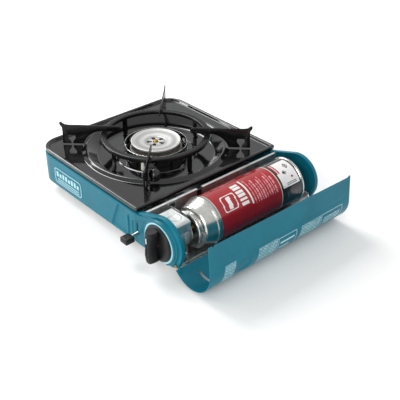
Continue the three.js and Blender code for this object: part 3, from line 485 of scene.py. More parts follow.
# Each finish: the slot it belongs to, the function that makes it, and what that function is given.
FINISHES = {
    # Polyester powder coat on pressed steel: even teal, soft gloss, a faint orange peel.
    "teal": ("teal_paint", mottled, "teal_powder_coat", "#0A6D80", "#086476", 40, (0.30, 0.38),
             0.02, 1.4, {"Specular IOR Level": 0.22}),
    # Vitreous enamel fired on steel: near black glass, deep sharp reflections, a slow ripple.
    "enamel": ("black_enamel", mottled, "black_vitreous_enamel", "#0E0E10", "#09090A", 60,
               (0.07, 0.12), 0.03, 9, {"IOR": 1.55, "Coat Weight": 0.3, "Coat Roughness": 0.03}),
    # The same enamel on the thin pot supports, slightly duller where pots rub.
    "support": ("black_enamel", mottled, "support_enamel", "#0B0B0C", "#070708", 18,
                (0.20, 0.34), 0.03, 2.5, {"Specular IOR Level": 0.3}),
    # Hot-dip galvanised sheet: pale grey with dull and bright spangle.
    "galvanised": ("galvanised_steel", spangled, "galvanised_sheet", "#E2E5E3", "#BFC3C2", 7, 5,
                   (0.26, 0.42), {"Metallic": 0.9}),
    # Bright rolled tinplate: clean steel that reflects a little softly, with faint streaks.
    "tinplate": ("bright_steel", mottled, "bright_tinplate", "#DCDCD8", "#C9C8C2", 12,
                 (0.20, 0.30), 0.01, 3, BARE_METAL),
    # Nickel-plated steel, a little warm and sharp in reflection.
    "plated": ("bright_steel", mottled, "nickel_plated_steel", "#D6D4CE", "#BFBDB8", 8,
               (0.12, 0.22), 0.01, 2, BARE_METAL),
    # Die-cast aluminium: pale grey skin with a fine sandy grain.
    "aluminium": ("cast_aluminium", mottled, "die_cast_aluminium", "#C4C5C3", "#A9AAA8", 4,
                  (0.38, 0.55), 0.05, 0.7, {"Metallic": 0.85}),
    # Turned brass, dulled a little by heat.
    "brass": ("brass", mottled, "turned_brass", "#C8A04E", "#9C7A38", 3, (0.25, 0.40), 0.01, 1,
              BARE_METAL),
    # Glass-filled nylon moulding: soft black with a fine spark-eroded grain.
    "nylon": ("black_plastic", mottled, "moulded_black_nylon", "#0E0E0F", "#0A0A0B", 6,
              (0.34, 0.46), 0.04, 0.9, {"Specular IOR Level": 0.35}),
    # Moulded rubber: flat black, chalky in patches.
    "rubber": ("rubber", mottled, "moulded_rubber", "#2A2A2A", "#1D1D1D", 5, (0.75, 0.90),
               0.05, 0.8, {}),
    # Glazed alumina ceramic: off-white and glossy.
    "alumina": ("glazed_ceramic", mottled, "glazed_alumina", "#EDEAE2", "#DDD8CC", 5,
                (0.15, 0.25), 0.01, 2, {}),
    # Acetal moulding, plain white.
    "acetal": ("white_plastic", mottled, "white_acetal", "#E8E6E0", "#DCD9D1", 6, (0.40, 0.50),
               0.02, 1, {}),
    # Screen ink over the powder coat, pale, with the pigment a little thin in places.
    "ink": ("teal_paint", mottled, "pale_screen_ink", "#B4D8DE", "#9CC8D0", 3, (0.40, 0.50),
            0.01, 1, {}),
    # Small print as the eye takes it in: rows of short pale marks on the teal coat.
    "fine_print": ("teal_paint", dashed, "fine_print_ink", "#A9C9CE", "#6FA6B0", "#1E6F82", 4,
                   {"Roughness": 0.4}),
    # Stainless steel spun on a lathe and blasted: pale grey, with soft rings.
    "cap": ("cast_aluminium", spun, "spun_stainless_cap", "#C4C4C1", "#A6A6A3", 2.2,
            (0.34, 0.46), 0.03, {"Metallic": 0.55}),
    # Sintered steel of the flame ports, browned by heat.
    "ports": ("brass", mottled, "heat_browned_steel", "#8E8982", "#6A655F", 3, (0.35, 0.50),
              0.04, 1, {"Metallic": 0.7}),
    # Matte floor paper, pale and even.
    "floor": (None, mottled, "pale_paper", "#F4F4F3", "#F1F1F0", 400, (0.85, 0.95), 0.01, 30, {}),
    # The can's printed colours, all in the lacquer above.
    "red": ("red_print", mottled, "red_lacquer", "#A8101C", "#9B0D18", *LACQUER),
    "white": ("red_print", mottled, "white_lacquer", "#F2F0EE", "#E6E3E0", *LACQUER),
    "pink": ("red_print", mottled, "light_red_lacquer", "#E39AA0", "#DB8A92", *LACQUER),
    "black": ("red_print", mottled, "black_lacquer", "#1A1A1C", "#141416", *LACQUER),
    "grey": ("red_print", mottled, "grey_lacquer", "#4A4C50", "#404246", *LACQUER),
    "cream": ("red_print", mottled, "cream_lacquer", "#E9E0CC", "#DDD3BC", *LACQUER),
}
SLOTS = {key: slot for key, (slot, *_) in FINISHES.items()}
made = {}


def finish(key):
    """The material of a finish, made once."""
    if key not in made:
        _, maker, *settings = FINISHES[key]
        made[key] = maker(*settings)
    return made[key]


def fit(piece, key, body, *nodes):
    """Gives a finished piece its material, its body and the nodes it stands for."""
    piece.data.materials.clear()
    piece.data.materials.append(finish(key))
    settle(piece, key, body, *nodes)


def settle(piece, key, body, *nodes):
    """Ties a piece to its body and the nodes it stands for."""
    piece.parent = None
    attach(piece, body)
    if nodes:
        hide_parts(*nodes)


# ---------------------------------------------------------------- arch over the cartridge
def arch_side_x(z, radius):
    """x of the straight side below the arch at a height."""
    foot_x = ARCH_X + radius * math.cos(ARCH_FOOT)
    foot_z = ARCH_Z + radius * math.sin(ARCH_FOOT)
    return foot_x + (foot_z - z) * math.tan(ARCH_FOOT)


def arch_roof_z(x, radius):
    """z of the straight roof left of the arch."""
    knee_x = ARCH_X - radius * math.sin(ARCH_SLOPE)
    knee_z = ARCH_Z + radius * math.cos(ARCH_SLOPE)
    return knee_z - (knee_x - x) * math.tan(ARCH_SLOPE)


def arch_path(radius, bottom, left, side=8, arc=48, roof=10):
    """(x, z) points up the right side, over the top and down the roof to the left."""
    foot = Vector((ARCH_X + radius * math.cos(ARCH_FOOT), ARCH_Z + radius * math.sin(ARCH_FOOT)))
    start = Vector((arch_side_x(bottom, radius), bottom))
    points = [start.lerp(foot, k / side) for k in range(side)]
    last = math.pi / 2 + ARCH_SLOPE
    for k in range(arc + 1):
        angle = ARCH_FOOT + (last - ARCH_FOOT) * k / arc
        spoke = Vector((math.cos(angle), math.sin(angle)))
        points.append(Vector((ARCH_X, ARCH_Z)) + spoke * radius)
    knee, tip = points[-1], Vector((left, arch_roof_z(left, radius)))
    points += [knee.lerp(tip, k / roof) for k in range(1, roof + 1)]
    return points


# ---------------------------------------------------------------- outer case
def rounded_plan(x0, x1, y0, y1, left, right, straight=6, arc=12):
    """Points (x, y) and outward normals round a plan with round corners, anticlockwise."""
    corners = [(x1 - right, y0 + right, right, -90), (x1 - right, y1 - right, right, 0),
               (x0 + left, y1 - left, left, 90), (x0 + left, y0 + left, left, 180)]
    ring = []
    for cx, cy, radius, begin in corners:
        for k in range(arc + 1):
            angle = math.radians(begin + 90.0 * k / arc)
            normal = Vector((math.cos(angle), math.sin(angle)))
            ring.append((Vector((cx, cy)) + normal * radius, normal))
    full = []
    for (p, n), (q, m) in zip(ring, ring[1:] + ring[:1]):
        full.append((p, n))
        if (q - p).length > 12:
            full += [(p.lerp(q, k / straight), n) for k in range(1, straight)]
    return full


def front_relief(x, z):
    """How far the front panel stands out at a place, in millimetres."""
    fold = FOLD_X + (z - FOLD_Z) * FOLD_LEAN
    sunk = -2.2 * span(x, fold - 0.6, fold + 0.6, -30.0, -6.0) * span(z, 18.5, 22.0, 56.0, 59.0)
    rib = 1.9 * ridge(x, RIB_X, 0.8, 2.2) * span(z, 20, 24, 49, 53)
    groove = -1.8 * ridge(x, GROOVE_X, 0.6, 1.3) * span(z, 24, 26, 47, 49)
    slot_x = (LEVER_SLOT[0] + LEVER_SLOT[1]) / 2
    slot_side = -0.5 * ridge(x, slot_x, 2.2, 4.2) * span(z, 25, 28, 51, 54)
    x0, x1, z0, z1 = BADGE
    u = abs(x - (x0 + x1) / 2) - (x1 - x0) / 2 + BADGE_CORNER
    v = abs(z - (z0 + z1) / 2) - (z1 - z0) / 2 + BADGE_CORNER
    beyond = math.hypot(max(u, 0), max(v, 0)) + min(max(u, v), 0) - BADGE_CORNER
    badge = 0.5 * (1 - smooth(beyond, -0.4, 0.6))
    return sunk + rib + groove + slot_side + badge


def slot_cutter():
    """Cutter of the lever's slot."""
    x0, x1, z0, z1 = LEVER_SLOT
    return block("slot_cut", x0, x1, -5, 5, z0, z1, 0.8)


def case_wrap():
    """The pressed band round the case, its top edge rolled and its ends behind the arch ends."""
    front_steps, rear_steps, arc = 200, 20, 14
    first, front_end, rear_end = CASE_LEFT + CORNER, 12.0, SHIELD_X + 6.0
    path = [(Vector((front_end + (first - front_end) * k / front_steps, 0)), Vector((0, -1)), True)
            for k in range(front_steps + 1)]
    for cy, begin in ((CORNER, 270), (CASE_DEPTH - CORNER, 180)):
        for k in range(0 if begin == 180 else 1, arc + 1):
            angle = math.radians(begin - 90.0 * k / arc)
            normal = Vector((math.cos(angle), math.sin(angle)))
            path.append((Vector((first, cy)) + normal * CORNER, normal, False))
    for k in range(1, rear_steps + 1):
        x = first + (rear_end - first) * k / rear_steps
        path.append((Vector((x, CASE_DEPTH)), Vector((0, 1)), False))
    chain = [(1.0, CASE_BOTTOM), (0.0, CASE_BOTTOM), (0.0, CASE_TOP), (7.5, CASE_TOP)]
    profile = fillet(chain, 1.6, 4)
    rows = []
    for (a, b), (c, d) in zip(profile, profile[1:]):
        pieces = 34 if d - b > 20 else 1
        rows += [(a + (c - a) * k / pieces, b + (d - b) * k / pieces) for k in range(pieces)]
    rows.append(profile[-1])

    def place(i, j):
        point, normal, is_front = path[i]
        inset, z = rows[j]
        stand = front_relief(point.x, z) if is_front and inset < 0.5 else 0.0
        if point.x > ARCH_END_X:
            stand -= TUCK
        spot = point + normal * (stand - inset)
        return at(spot.x, spot.y, z)

    band = surface("case_band", len(path), len(rows), place)
    face_out(band, at(-119, 128, 40))
    return cut_with(walled(band, SHEET), slot_cutter())


def face_out(piece, inside):
    """Turns an open sheet's faces away from a place inside it."""
    total = sum((face.center - inside).dot(face.normal) * face.area for face in piece.data.polygons)
    if total < 0:
        edit(piece)
        bpy.ops.mesh.flip_normals()
        leave()


def case_end(name, is_front):
    """One arch-shaped end: its face, the step to the ledge under the lid, and the rim."""
    face_radius = ARCH_RADIUS - ARCH_STEP
    chain = fillet([(face_radius - 6, 0), (face_radius, 0), (face_radius, 3), (ARCH_RADIUS, 3),
                    (ARCH_RADIUS, 9)], 1.3, 4)
    left = 2.0
    paths = [arch_path(radius, CASE_BOTTOM, left) for radius, _ in chain]

    def place(i, j):
        point, depth = paths[j][i], chain[j][1]
        return at(point.x, depth if is_front else CASE_DEPTH - depth, point.y)

    rim = surface(name + "_rim", len(paths[0]), len(chain), place)
    face_out(rim, at(ARCH_X, 60 if is_front else 190, ARCH_Z - 20))
    walled(rim, SHEET)
    y = 0 if is_front else CASE_DEPTH
    outline = [at(p.x, y, p.y) for p in arch_path(face_radius - 5.5, CASE_BOTTOM, left - 2)]
    outline.append(at(left - 2, y, CASE_BOTTOM))
    face = plate(name + "_face", outline, shift(0, SHEET if is_front else -SHEET, 0))
    return [rim, face]


def front_boss():
    """Raised round panel behind the knob, cut level with the case's lower edge."""
    r, rise = BOSS_RADIUS, BOSS_RISE
    profile = [(5.2, -rise), (r - 1.4, -rise), (r - 0.5, -rise + 0.25), (r - 0.1, -rise + 0.9),
               (r, -0.6), (r + 0.3, -0.1), (r + 0.9, 0.1), (r + 0.9, 0.7), (5.2, 0.7)]
    return levelled(on_can("boss", profile), CASE_BOTTOM)


def hinge_x():
    """x of the lid's hinge pins."""
    low, high = drawn_box("hinge_pin_front")
    return (low.x + high.x) / 2


def hinge_hole(y0, y1):
    """Cutter that clears a hinge pin."""
    return drum("pin_cut", PIN_HOLE, y0, y1, (hinge_x(), HINGE_Z), "Y", 24)


def badge_outline():
    """Plain rounded frame, a row of plain blocks and two plain lines printed on the badge."""
    ink_y, sheet_y = -0.58, -0.4

    def frame_plate(name, inset, y, thick):
        x0, x1, z0, z1 = BADGE
        corner = BADGE_CORNER + 1 - inset
        plan = rounded_plan(x0 + inset, x1 - inset, z0 + inset, z1 - inset, corner, corner, 2, 10)
        return plate(name, [at(p.x, y, p.y) for p, _ in plan], shift(0, thick, 0))

    parts = [cut_with(frame_plate("badge_outer", 1.2, ink_y, 0.2),
                      frame_plate("badge_inner", 2.4, -1.0, 1.0))]
    for k in range(8):
        x, top = -190 + 7.4 * k, 41.5 if k % 3 == 1 else 43.5
        parts.append(block("badge_bar", x, x + 4.8, ink_y, sheet_y, 35.5, top))
    for z in (27.5, 31.0):
        parts.append(block("badge_line", -188, -134, ink_y, sheet_y, z, z + 1.3))
    return joined("front_badge", *parts)


class STOVE_OT_outer_case(bpy.types.Operator):
    """Models the pressed teal case with its front panel, arch ends, boss and badge"""
    bl_idname = "stove.outer_case"
    bl_label = "Outer case"

    def execute(self, context):
        front = case_end("front_end", True)
        rear = case_end("rear_end", False)
        cut_with(front[1], slot_cutter(),
                 drum("boss_cut", BOSS_RADIUS - 0.5, -3, 3, (CAN_X, CAN_Z), "Y"))
        cut_with(front[0], hinge_hole(-5, 15))
        cut_with(rear[0], hinge_hole(CASE_DEPTH - 17, CASE_DEPTH + 5))
        case = joined("case_shell", case_wrap(), front_boss(), *front, *rear)
        fit(shaded(case, 40), "teal", "stove_body", "outer_case")
        fit(shaded(badge_outline(), 30), "ink", "stove_body")
        return {"FINISHED"}


# ---------------------------------------------------------------- drip pan
class STOVE_OT_drip_pan(bpy.types.Operator):
    """Models the enamelled top with its dish, raised rim and stepped skirt"""
    bl_idname = "stove.drip_pan"
    bl_label = "Drip pan"

    def execute(self, context):
        middle = Vector(PAN_CENTRE)

        def ring(inset):
            return rounded_plan(
                CASE_LEFT + 1 + inset, -0.5 - inset, 1 + inset, CASE_DEPTH - 1 - inset,
                CORNER - 1 - inset, max(3.2 - inset, 0.6), 26, 14)

        lip = WIND_RADIUS - 1.3
        radial = fillet([
            (lip - 0.9, DISH_FLOOR - 0.9), (lip - 0.9, DISH_FLOOR + 4.5), (lip, DISH_FLOOR + 4.5),
            (lip, DISH_FLOOR), (58, DISH_FLOOR), (60, DISH_FLOOR - 0.6), (80, DISH_FLOOR - 0.6),
            (DISH_RADIUS - 18.5, DISH_FLOOR), (DISH_RADIUS - 4.6, PAN_TOP - 0.6),
            (DISH_RADIUS - 2.6, PAN_TOP + 0.2), (DISH_RADIUS - 0.4, PAN_TOP - 1.0),
            (DISH_RADIUS + 3.4, PAN_FIELD), (DISH_RADIUS + 5, PAN_FIELD)], 2.2, 4)
        skirt_foot = PAN_TOP - 5.0
        edge = fillet([
            (PAN_BORDER + 3.4, PAN_FIELD), (PAN_BORDER + 1.2, PAN_FIELD),
            (PAN_BORDER - 0.6, PAN_TOP), (0, PAN_TOP), (0, skirt_foot),
            (SKIRT_INSET, skirt_foot), (SKIRT_INSET, CASE_TOP + 0.3)], 1.5, 4)

        rings = [ring(inset) for inset, _ in edge]
        count = len(rings[0])

        def place(i, j):
            if j < len(radial):
                r, z = radial[j]
                spot = middle + (rings[0][i % count][0] - middle).normalized() * r
            else:
                z = edge[j - len(radial)][1]
                spot = rings[j - len(radial)][i % count][0]
            return at(spot.x, spot.y, z)

        pan = surface("pan_top", count + 1, len(radial) + len(edge), place)
        face_out(pan, at(*PAN_CENTRE, 0))
        walled(pan, 0.8, even=False)
        hole = from_pan_centre(ELECTRODE_REACH, ELECTRODE_ANGLE)
        cut_with(pan, drum("electrode_cut", 3.4, 45, 60, hole))
        pan = joined("pan_top", pan, self.button())
        fit(shaded(pan, 35), "enamel", "stove_body", "drip_pan")
        return {"FINISHED"}

    def button(self):
        """Round domed button on the dish's rim beside the front fin."""
        steps = 16
        angles = [math.pi * k / steps for k in range(1, steps)]
        side = [(BUTTON_RADIUS * math.sin(a), -BUTTON_RADIUS * math.cos(a)) for a in angles]
        profile = [(0.0, -BUTTON_RADIUS), *side, (0.0, BUTTON_RADIUS)]
        x, y = from_pan_centre(BUTTON_REACH, BUTTON_ANGLE)
        return turned("pan_button", profile, (x, y, PAN_TOP + 6), "Z", 40)


# ---------------------------------------------------------------- burner
class STOVE_OT_burner(bpy.types.Operator):
    """Models the burner bowl, flame ports, dished cap, centre nut and wind collar"""
    bl_idname = "stove.burner"
    bl_label = "Burner"

    def execute(self, context):
        self.bowl()
        self.ports()
        self.cap()
        self.nut()
        self.collar()
        return {"FINISHED"}

    def bowl(self):
        """Cast bowl round the CAD's own casting, whose socket takes the mixing tube."""
        r = BURNER_RADIUS + 1.5
        bowl = turned("burner_bowl", filleted_ring([
            (13, 14), (13, 46), (r - 4, 57), (r - 1, 60), (r, 63), (r, 66), (r - 2.2, 66),
            (r - 2.2, 62), (11.3, 47), (11.3, 16), (9, 16), (9, 14)], 0.8, 3), BURNER_AXIS)
        fit(from_node("burner_base", 0.3), "aluminium", "stove_body")
        fit(shaded(bowl), "aluminium", "stove_body", "burner_base")

    def ports(self):
        """Corrugated ring whose folds are the flame ports."""
        folds, per_fold = 60, 6
        heights = [66.3, 66.7, 68.5, 71.5, 73.2, 73.7]

        def place(i, j):
            wave = 0.5 + 0.5 * math.cos(2 * math.pi * i / per_fold)
            depth = 0.0 if j in (0, len(heights) - 1) else 1.3 * wave
            spot = from_pan_centre(BURNER_RADIUS - 1.2 - depth, 360 * i / (folds * per_fold))
            return at(*spot, heights[j])

        ring = surface("flame_ports", folds * per_fold + 1, len(heights), place)
        face_out(ring, at(*PAN_CENTRE, 70))
        fit(shaded(walled(ring, 1.6), 50), "ports", "stove_body", "flame_port_ring")

    def cap(self):
        """Dished cap with five slots round its middle."""
        r = BURNER_RADIUS
        profile = filleted_ring([
            (4.0, 72.6), (12, 72.6), (r - 4, 73.9), (r - 0.8, 73.9), (r, 74.9),
            (r, BURNER_TOP - 0.4), (r - 0.6, BURNER_TOP), (r - 1.8, BURNER_TOP), (r - 3.4, 76.0),
            (15.5, 74.4), (13.6, 73.9),
            (4.0, 73.9)], 0.9, 4)
        cap = turned("burner_cap_dish", profile, BURNER_AXIS, "Z", 128)
        wedge = [(math.hypot(u, v), 20 + math.degrees(math.atan2(v, u)))
                 for u, v in ((6.0, -2.0), (12.4, -3.3), (13.3, 0), (12.4, 3.3), (6.0, 2.0))]
        for k in range(5):
            points = [at(*from_pan_centre(reach, 72 * k + angle), 70) for reach, angle in wedge]
            cut_with(cap, plate("cap_slot", points, shift(0, 0, 10)))
        fit(shaded(cap, 30), "cap", "stove_body", "burner_cap")

    def nut(self):
        """Brass nut and stud in the middle of the cap."""
        corners = [at(*from_pan_centre(3.8, 60 * k), 70) for k in range(6)]
        hexagon = rounded(plate("nut_hexagon", corners, shift(0, 0, 5.2)), 0.5, 2)
        side = filleted_ring([(3, 62), (3, 75.6), (2.4, 76.4), (0.0, 76.4), (0.0, 62)], 0.3, 2)
        stud = turned("nut_stud", side, BURNER_AXIS, "Z", 32)
        fit(shaded(joined("centre_nut", hexagon, stud)), "brass", "stove_body", "burner_centre")

    def collar(self):
        """Bright ring of sheet with oval air holes and a rolled top; its outer faces are painted
        black as a dark reflection.
        """
        foot, r = DISH_FLOOR + 0.3, WIND_RADIUS
        profile = filleted_ring([
            (r, foot), (r, foot + 17), (r - 0.2, foot + 18), (r - 1.4, foot + 18),
            (r - 1.0, foot + 16.5), (r - 1.0, foot)], 0.5, 3)
        ring = turned("wind_ring", profile, BURNER_AXIS, "Z", 128)
        for k in range(6):
            deselect()
            bpy.ops.mesh.primitive_cylinder_add(
                vertices=24, radius=3.2 * MM, depth=2.4 * r * MM,
                location=at(*PAN_CENTRE, foot + 10),
                rotation=(math.pi / 2, 0, math.radians(30 * k + 15)))
            tool = named("air_hole")
            tool.scale = (1.7, 1, 1)
            bpy.ops.object.transform_apply(location=True, rotation=True, scale=True)
            cut_with(ring, tool)
        # Painted reflection: the outward-facing faces take the black enamel to stand for the dark
        # surroundings the bright steel reflects; the top and inner faces keep the plated finish.
        ring.data.materials.clear()
        for key in ("plated", "enamel"):
            ring.data.materials.append(finish(key))
        axis = at(*PAN_CENTRE, 0)
        for face in ring.data.polygons:
            outward = (face.center - axis).to_2d().normalized()
            face.material_index = 1 if face.normal.to_2d().dot(outward) > 0.3 else 0
        settle(shaded(ring, 30), "plated", "stove_body", "wind_collar")


# ---------------------------------------------------------------- pot support
class STOVE_OT_pot_support(bpy.types.Operator):
    """Models the channel ring on four legs and the four fins with horns"""
    bl_idname = "stove.pot_support"
    bl_label = "Pot support"

    def execute(self, context):
        foot, wall = RING_TOP - 6.0, 1.2
        profile = filleted_ring([
            (RING_OUTER, foot), (RING_OUTER, RING_TOP - 0.6), (RING_OUTER - 1.4, RING_TOP),
            (RING_INNER + 1.4, RING_TOP), (RING_INNER, RING_TOP - 0.6), (RING_INNER, foot + 1),
            (RING_INNER + wall, foot + 1), (RING_INNER + wall, RING_TOP - 1.8),
            (RING_OUTER - wall, RING_TOP - 1.8), (RING_OUTER - wall, foot)], 1.0, 3)
        ring = turned("support_ring", profile, BURNER_AXIS, "Z", 144)
        first = self.leg()
        legs = [turned_copy(first, "leg", 90 * k, PAN_CENTRE) for k in range(4)]
        bpy.data.objects.remove(first)
        ring = joined("support_ring", ring, *legs)
        fit(shaded(ring, 35), "support", "pot_support", "pot_support_ring")
        first = self.fin()
        for side, degrees in {"right": 45, "back": 135, "left": 225, "front": 315}.items():
            piece = turned_copy(first, "fin_plate_" + side, degrees, PAN_CENTRE)
            fit(shaded(piece, 30), "support", "pot_support", "fin_" + side)
        bpy.data.objects.remove(first)
        return {"FINISHED"}

    def leg(self):
        """Flat leg, wider at its head, with a small toe on the dish floor."""
        cx, cy = PAN_CENTRE
        low, high = DISH_FLOOR + 0.3, RING_TOP - 1.5
        x = cx + (RING_OUTER + RING_INNER) / 2 - 0.6
        face = [(-3.4, low), (3.4, low), (4.2, low + 5), (4.2, high - 8), (6.0, high),
                (-6.0, high), (-4.2, high - 8), (-4.2, low + 5)]
        points = [at(x, cy + y, z) for y, z in filleted_ring(face, 1.2, 3)]
        leg = rounded(plate("leg_plate", points, shift(1.2, 0, 0)), 0.25, 2)
        toe = block("leg_toe", x, x + 4.6, cy - 3.4, cy + 3.4, low, low + 1.1, 0.3)
        return joined("leg_base", leg, toe)

    def fin(self):
        """Fin with a keyhole slot at its foot and a horn at its head, pointing along x."""
        cx, cy = PAN_CENTRE
        foot, seat = PAN_FIELD + 1.8, RING_TOP + 0.3
        inner = FIN_OUTER - 87
        mid = (FIN_TOP + seat) / 2
        reach = (FIN_TOP - seat) / 2
        slot = FIN_OUTER - 14
        corners = [
            (DISH_RADIUS + 2.5, foot), (slot - 1.2, foot), (slot - 1.2, foot + 2.5),
            (slot - 6, foot + 9.5), (slot - 5, foot + 14), (slot + 5, foot + 14),
            (slot + 6, foot + 9.5), (slot + 1.2, foot + 2.5), (slot + 1.2, foot),
            (FIN_OUTER, foot), (FIN_OUTER - 1, FIN_TOP - 12), (FIN_OUTER - 0.6, FIN_TOP - 4),
            (FIN_OUTER + 2.5, FIN_TOP + 0.5), (FIN_OUTER + 2.4, FIN_TOP + 3.9),
            (FIN_OUTER + 0.6, FIN_TOP + 4.6), (FIN_OUTER - 1.2, FIN_TOP + 3.6),
            (FIN_OUTER - 4, FIN_TOP + 1.2), (FIN_OUTER - 9, FIN_TOP), (inner + 4, FIN_TOP)]
        outline = fillet(corners, 1.0, 3)
        for k in range(1, 12):
            angle = math.pi / 2 + math.pi * k / 12
            outline.append((inner + 4 + reach * math.cos(angle), mid + reach * math.sin(angle)))
        outline.append((inner + 4, seat))
        outline.append((RING_OUTER + 3, seat))
        start, hollow = Vector((RING_OUTER + 3, seat)), Vector((DISH_RADIUS - 3.5, seat - 4))
        outline += [tuple(bend(start, hollow, Vector(corners[0]), k / 10)) for k in range(1, 10)]
        points = [at(cx + r, cy - FIN_WALL / 2, z) for r, z in outline]
        return rounded(plate("fin_plate", points, shift(0, FIN_WALL, 0)), 0.35, 2)


# ---------------------------------------------------------------- knob and regulator
def soft_corner(turn, power=3.4):
    """(across, deep) on a square of half-width 1 with soft corners, at a part of a whole turn."""
    c, s = math.cos(2 * math.pi * turn), math.sin(2 * math.pi * turn)
    return math.copysign(abs(c) ** (2 / power), c), math.copysign(abs(s) ** (2 / power), s)


class STOVE_OT_knob(bpy.types.Operator):
    """Models the moulded knob with its waisted grip and pointer mark, and a pale ring on the boss
    round it
    """
    bl_idname = "stove.knob"
    bl_label = "Knob"

    def execute(self, context):
        back = -BOSS_RISE - 0.5
        skirt = on_can("knob_skirt", filleted_ring([
            (0.0, back - 3.4), (16, back - 3.4), (22.4, back - 3.0), (24.2, back - 2.2),
            (25.0, back - 0.9), (25.0, back), (0.0, back)], 0.7, 3))
        mark = block("knob_mark", CAN_X - 0.6, CAN_X + 0.6, -22.05, -21.2,
                     CAN_Z + 8, CAN_Z + 16, 0.2)
        grip = self.grip(back - 2.0)
        fit(shaded(joined("knob_body", skirt, grip), 50), "nylon", "knob", "knob")
        fit(mark, "acetal", "knob")
        # A pale ring on the boss round the knob, drawn evenly all round in the pale ink finish.
        face, inner, outer = -BOSS_RISE, 25.8, 28.0
        scale = on_can("knob_pale_ring", [(inner, face - 0.12), (outer, face - 0.12),
                                      (outer, face + 0.1), (inner, face + 0.1)])
        fit(shaded(levelled(scale, CASE_BOTTOM), 30), "ink", "stove_body")
        return {"FINISHED"}

    def grip(self, back):
        """Waisted grip, wider at its ends, with a groove and fine ribs along its front."""
        rows, count = 41, 36
        length = 22.0

        def place(i, j):
            t = min(max((j - 1) / (rows - 3), 0.0), 1.0)
            z = -length + 2 * length * t
            end = 1.0 - smooth(abs(z), length - 3.0, length + 0.6) * 0.35
            squeeze = 0.0 if j in (0, rows - 1) else 1.0
            waist = (4.4 + 3.6 * abs(z / length) ** 1.7) * (1.06 if z < 0 else 0.96)
            lean = 0.6 * math.sin(math.pi * z / length)
            front = -22.0 + 1.6 * smooth(abs(z), 6, length)
            middle_y = (back + front) / 2
            across, deep = soft_corner(i / count)
            x, y = waist * end * across, middle_y + (back - front) / 2 * deep
            taper = 1.0 - 0.18 * smooth(-y, 6, 22)
            groove = 1.5 * ridge(x, 0, 0.8, 3.0) * smooth(-y, 12, 20) * ridge(z, 0, 14, 20)
            y += groove + 0.5 * math.sin(x * 2.6) * smooth(-y, 14, 21)
            y = middle_y + (y - middle_y) * squeeze
            return at(CAN_X + lean + x * taper * squeeze, y, CAN_Z + z)

        grip = surface("knob_grip", count + 1, rows, place)
        edit(grip)
        bpy.ops.mesh.normals_make_consistent(inside=False)
        leave()
        return grip


class STOVE_OT_regulator(bpy.types.Operator):
    """Models the regulator casting, its galvanised cover, inlet and bracket"""
    bl_idname = "stove.regulator"
    bl_label = "Regulator"

    def execute(self, context):
        self.cover()
        body = on_can("regulator_casting", filleted_ring([
            (4.3, 12), (18.5, 12), (18.5, 20), (17.2, 21), (17.2, 27), (18.5, 28), (18.5, 33.5),
            (14.5, 35), (14.5, 38.5), (12, 40), (8, 40), (8, 42), (4.3, 42)], 0.7, 3), 72)
        elbow = drum("gas_elbow", 4, CAN_X - 24, CAN_X - 10, (26, 34), "X", 32)
        screws = []
        for degrees in (35, 145, 215, 325):
            a = math.radians(degrees)
            spot = (CAN_X + 15.2 * math.cos(a), CAN_Z + 15.2 * math.sin(a))
            screws.append(drum("flange_screw", 2.4, 34, 36.4, spot, "Y", 24))
        casting = joined("regulator_casting", body, rounded(elbow, 0.5), *screws)
        fit(shaded(casting), "aluminium", "stove_body", "regulator_body")
        port = on_can("inlet_ring", filleted_ring([
            (4.2, 42.3), (10.5, 42.3), (10.5, 43.6), (9.6, 44.3), (7.4, 44.3), (7.0, 43.6),
            (4.2, 43.6)], 0.3, 3), 64)
        fit(shaded(port), "nylon", "stove_body", "inlet_port")
        nozzle = on_can("inlet_tip", [
            (0.0, 42.3), (3.8, 42.3), (3.8, 44.2), (3.3, 45.2), (2.2, 46.1), (1.0, 46.4),
            (0.0, 46.4)], 48)
        fit(shaded(nozzle, 50), "plated", "stove_body", "inlet_nozzle")
        fit(from_node("regulator_bracket", 0.25), "galvanised", "stove_body", "regulator_bracket")
        return {"FINISHED"}

    def cover(self):
        """Folded cover with soft bends, a shallow dimple and an open front and rear."""
        top, low, reach = CAN_Z + 28.5, CAN_Z + 14.0, 20.0
        y0, y1 = 10.0, 34.0
        chain = fillet([(-reach, low), (-reach, top), (reach, top), (reach, low)], 5.0, 8)
        section = []
        for (a, b), (c, d) in zip(chain, chain[1:]):
            pieces = max(1, round(math.hypot(c - a, d - b) / 1.2))
            section += [(a + (c - a) * k / pieces, b + (d - b) * k / pieces) for k in range(pieces)]
        section.append(chain[-1])
        steps = 25

        def place(i, j):
            x, z = section[i]
            y = y0 + (y1 - y0) * j / (steps - 1)
            away = math.hypot(x - 2, y - 21)
            if z > top - 0.6:
                z -= 0.9 * (1 - smooth(away, 4.5, 8.5)) + 0.25 * ridge(away, 11.0, 0.3, 1.2)
            return at(CAN_X + x, y, z)

        cover = surface("regulator_hood", len(section), steps, place)
        face_out(cover, at(CAN_X, 22, CAN_Z + 10))
        cover = rounded(walled(cover, SHEET), 0.2, 1)
        fit(shaded(cover, 40), "galvanised", "stove_body", "regulator_cover")


# ---------------------------------------------------------------- lever
class STOVE_OT_lock_lever(bpy.types.Operator):
    """Models the cartridge lock lever with its moulded grip"""
    bl_idname = "stove.lock_lever"
    bl_label = "Lock lever"

    def execute(self, context):
        fit(from_node("lock_lever", 0.2), "plated", "lever", "lock_lever")
        (x0, y0, z0), (x1, y1, z1) = drawn_box("lever_grip")
        pad = block("grip_pad", x0, x1, y0, y1, z0, z1, 1.4, 4)
        for k in range(4):
            y = y0 + 3.0 + 2.4 * k
            cut_with(pad, block("groove", x0 + 2, x1 - 2, y, y + 0.9, z1 - 0.5, z1 + 2))
        fit(shaded(pad, 35), "nylon", "lever", "lever_grip")
        return {"FINISHED"}


# ---------------------------------------------------------------- cartridge
# How far the rolled seams stand out from the can.
SEAM = 1.15
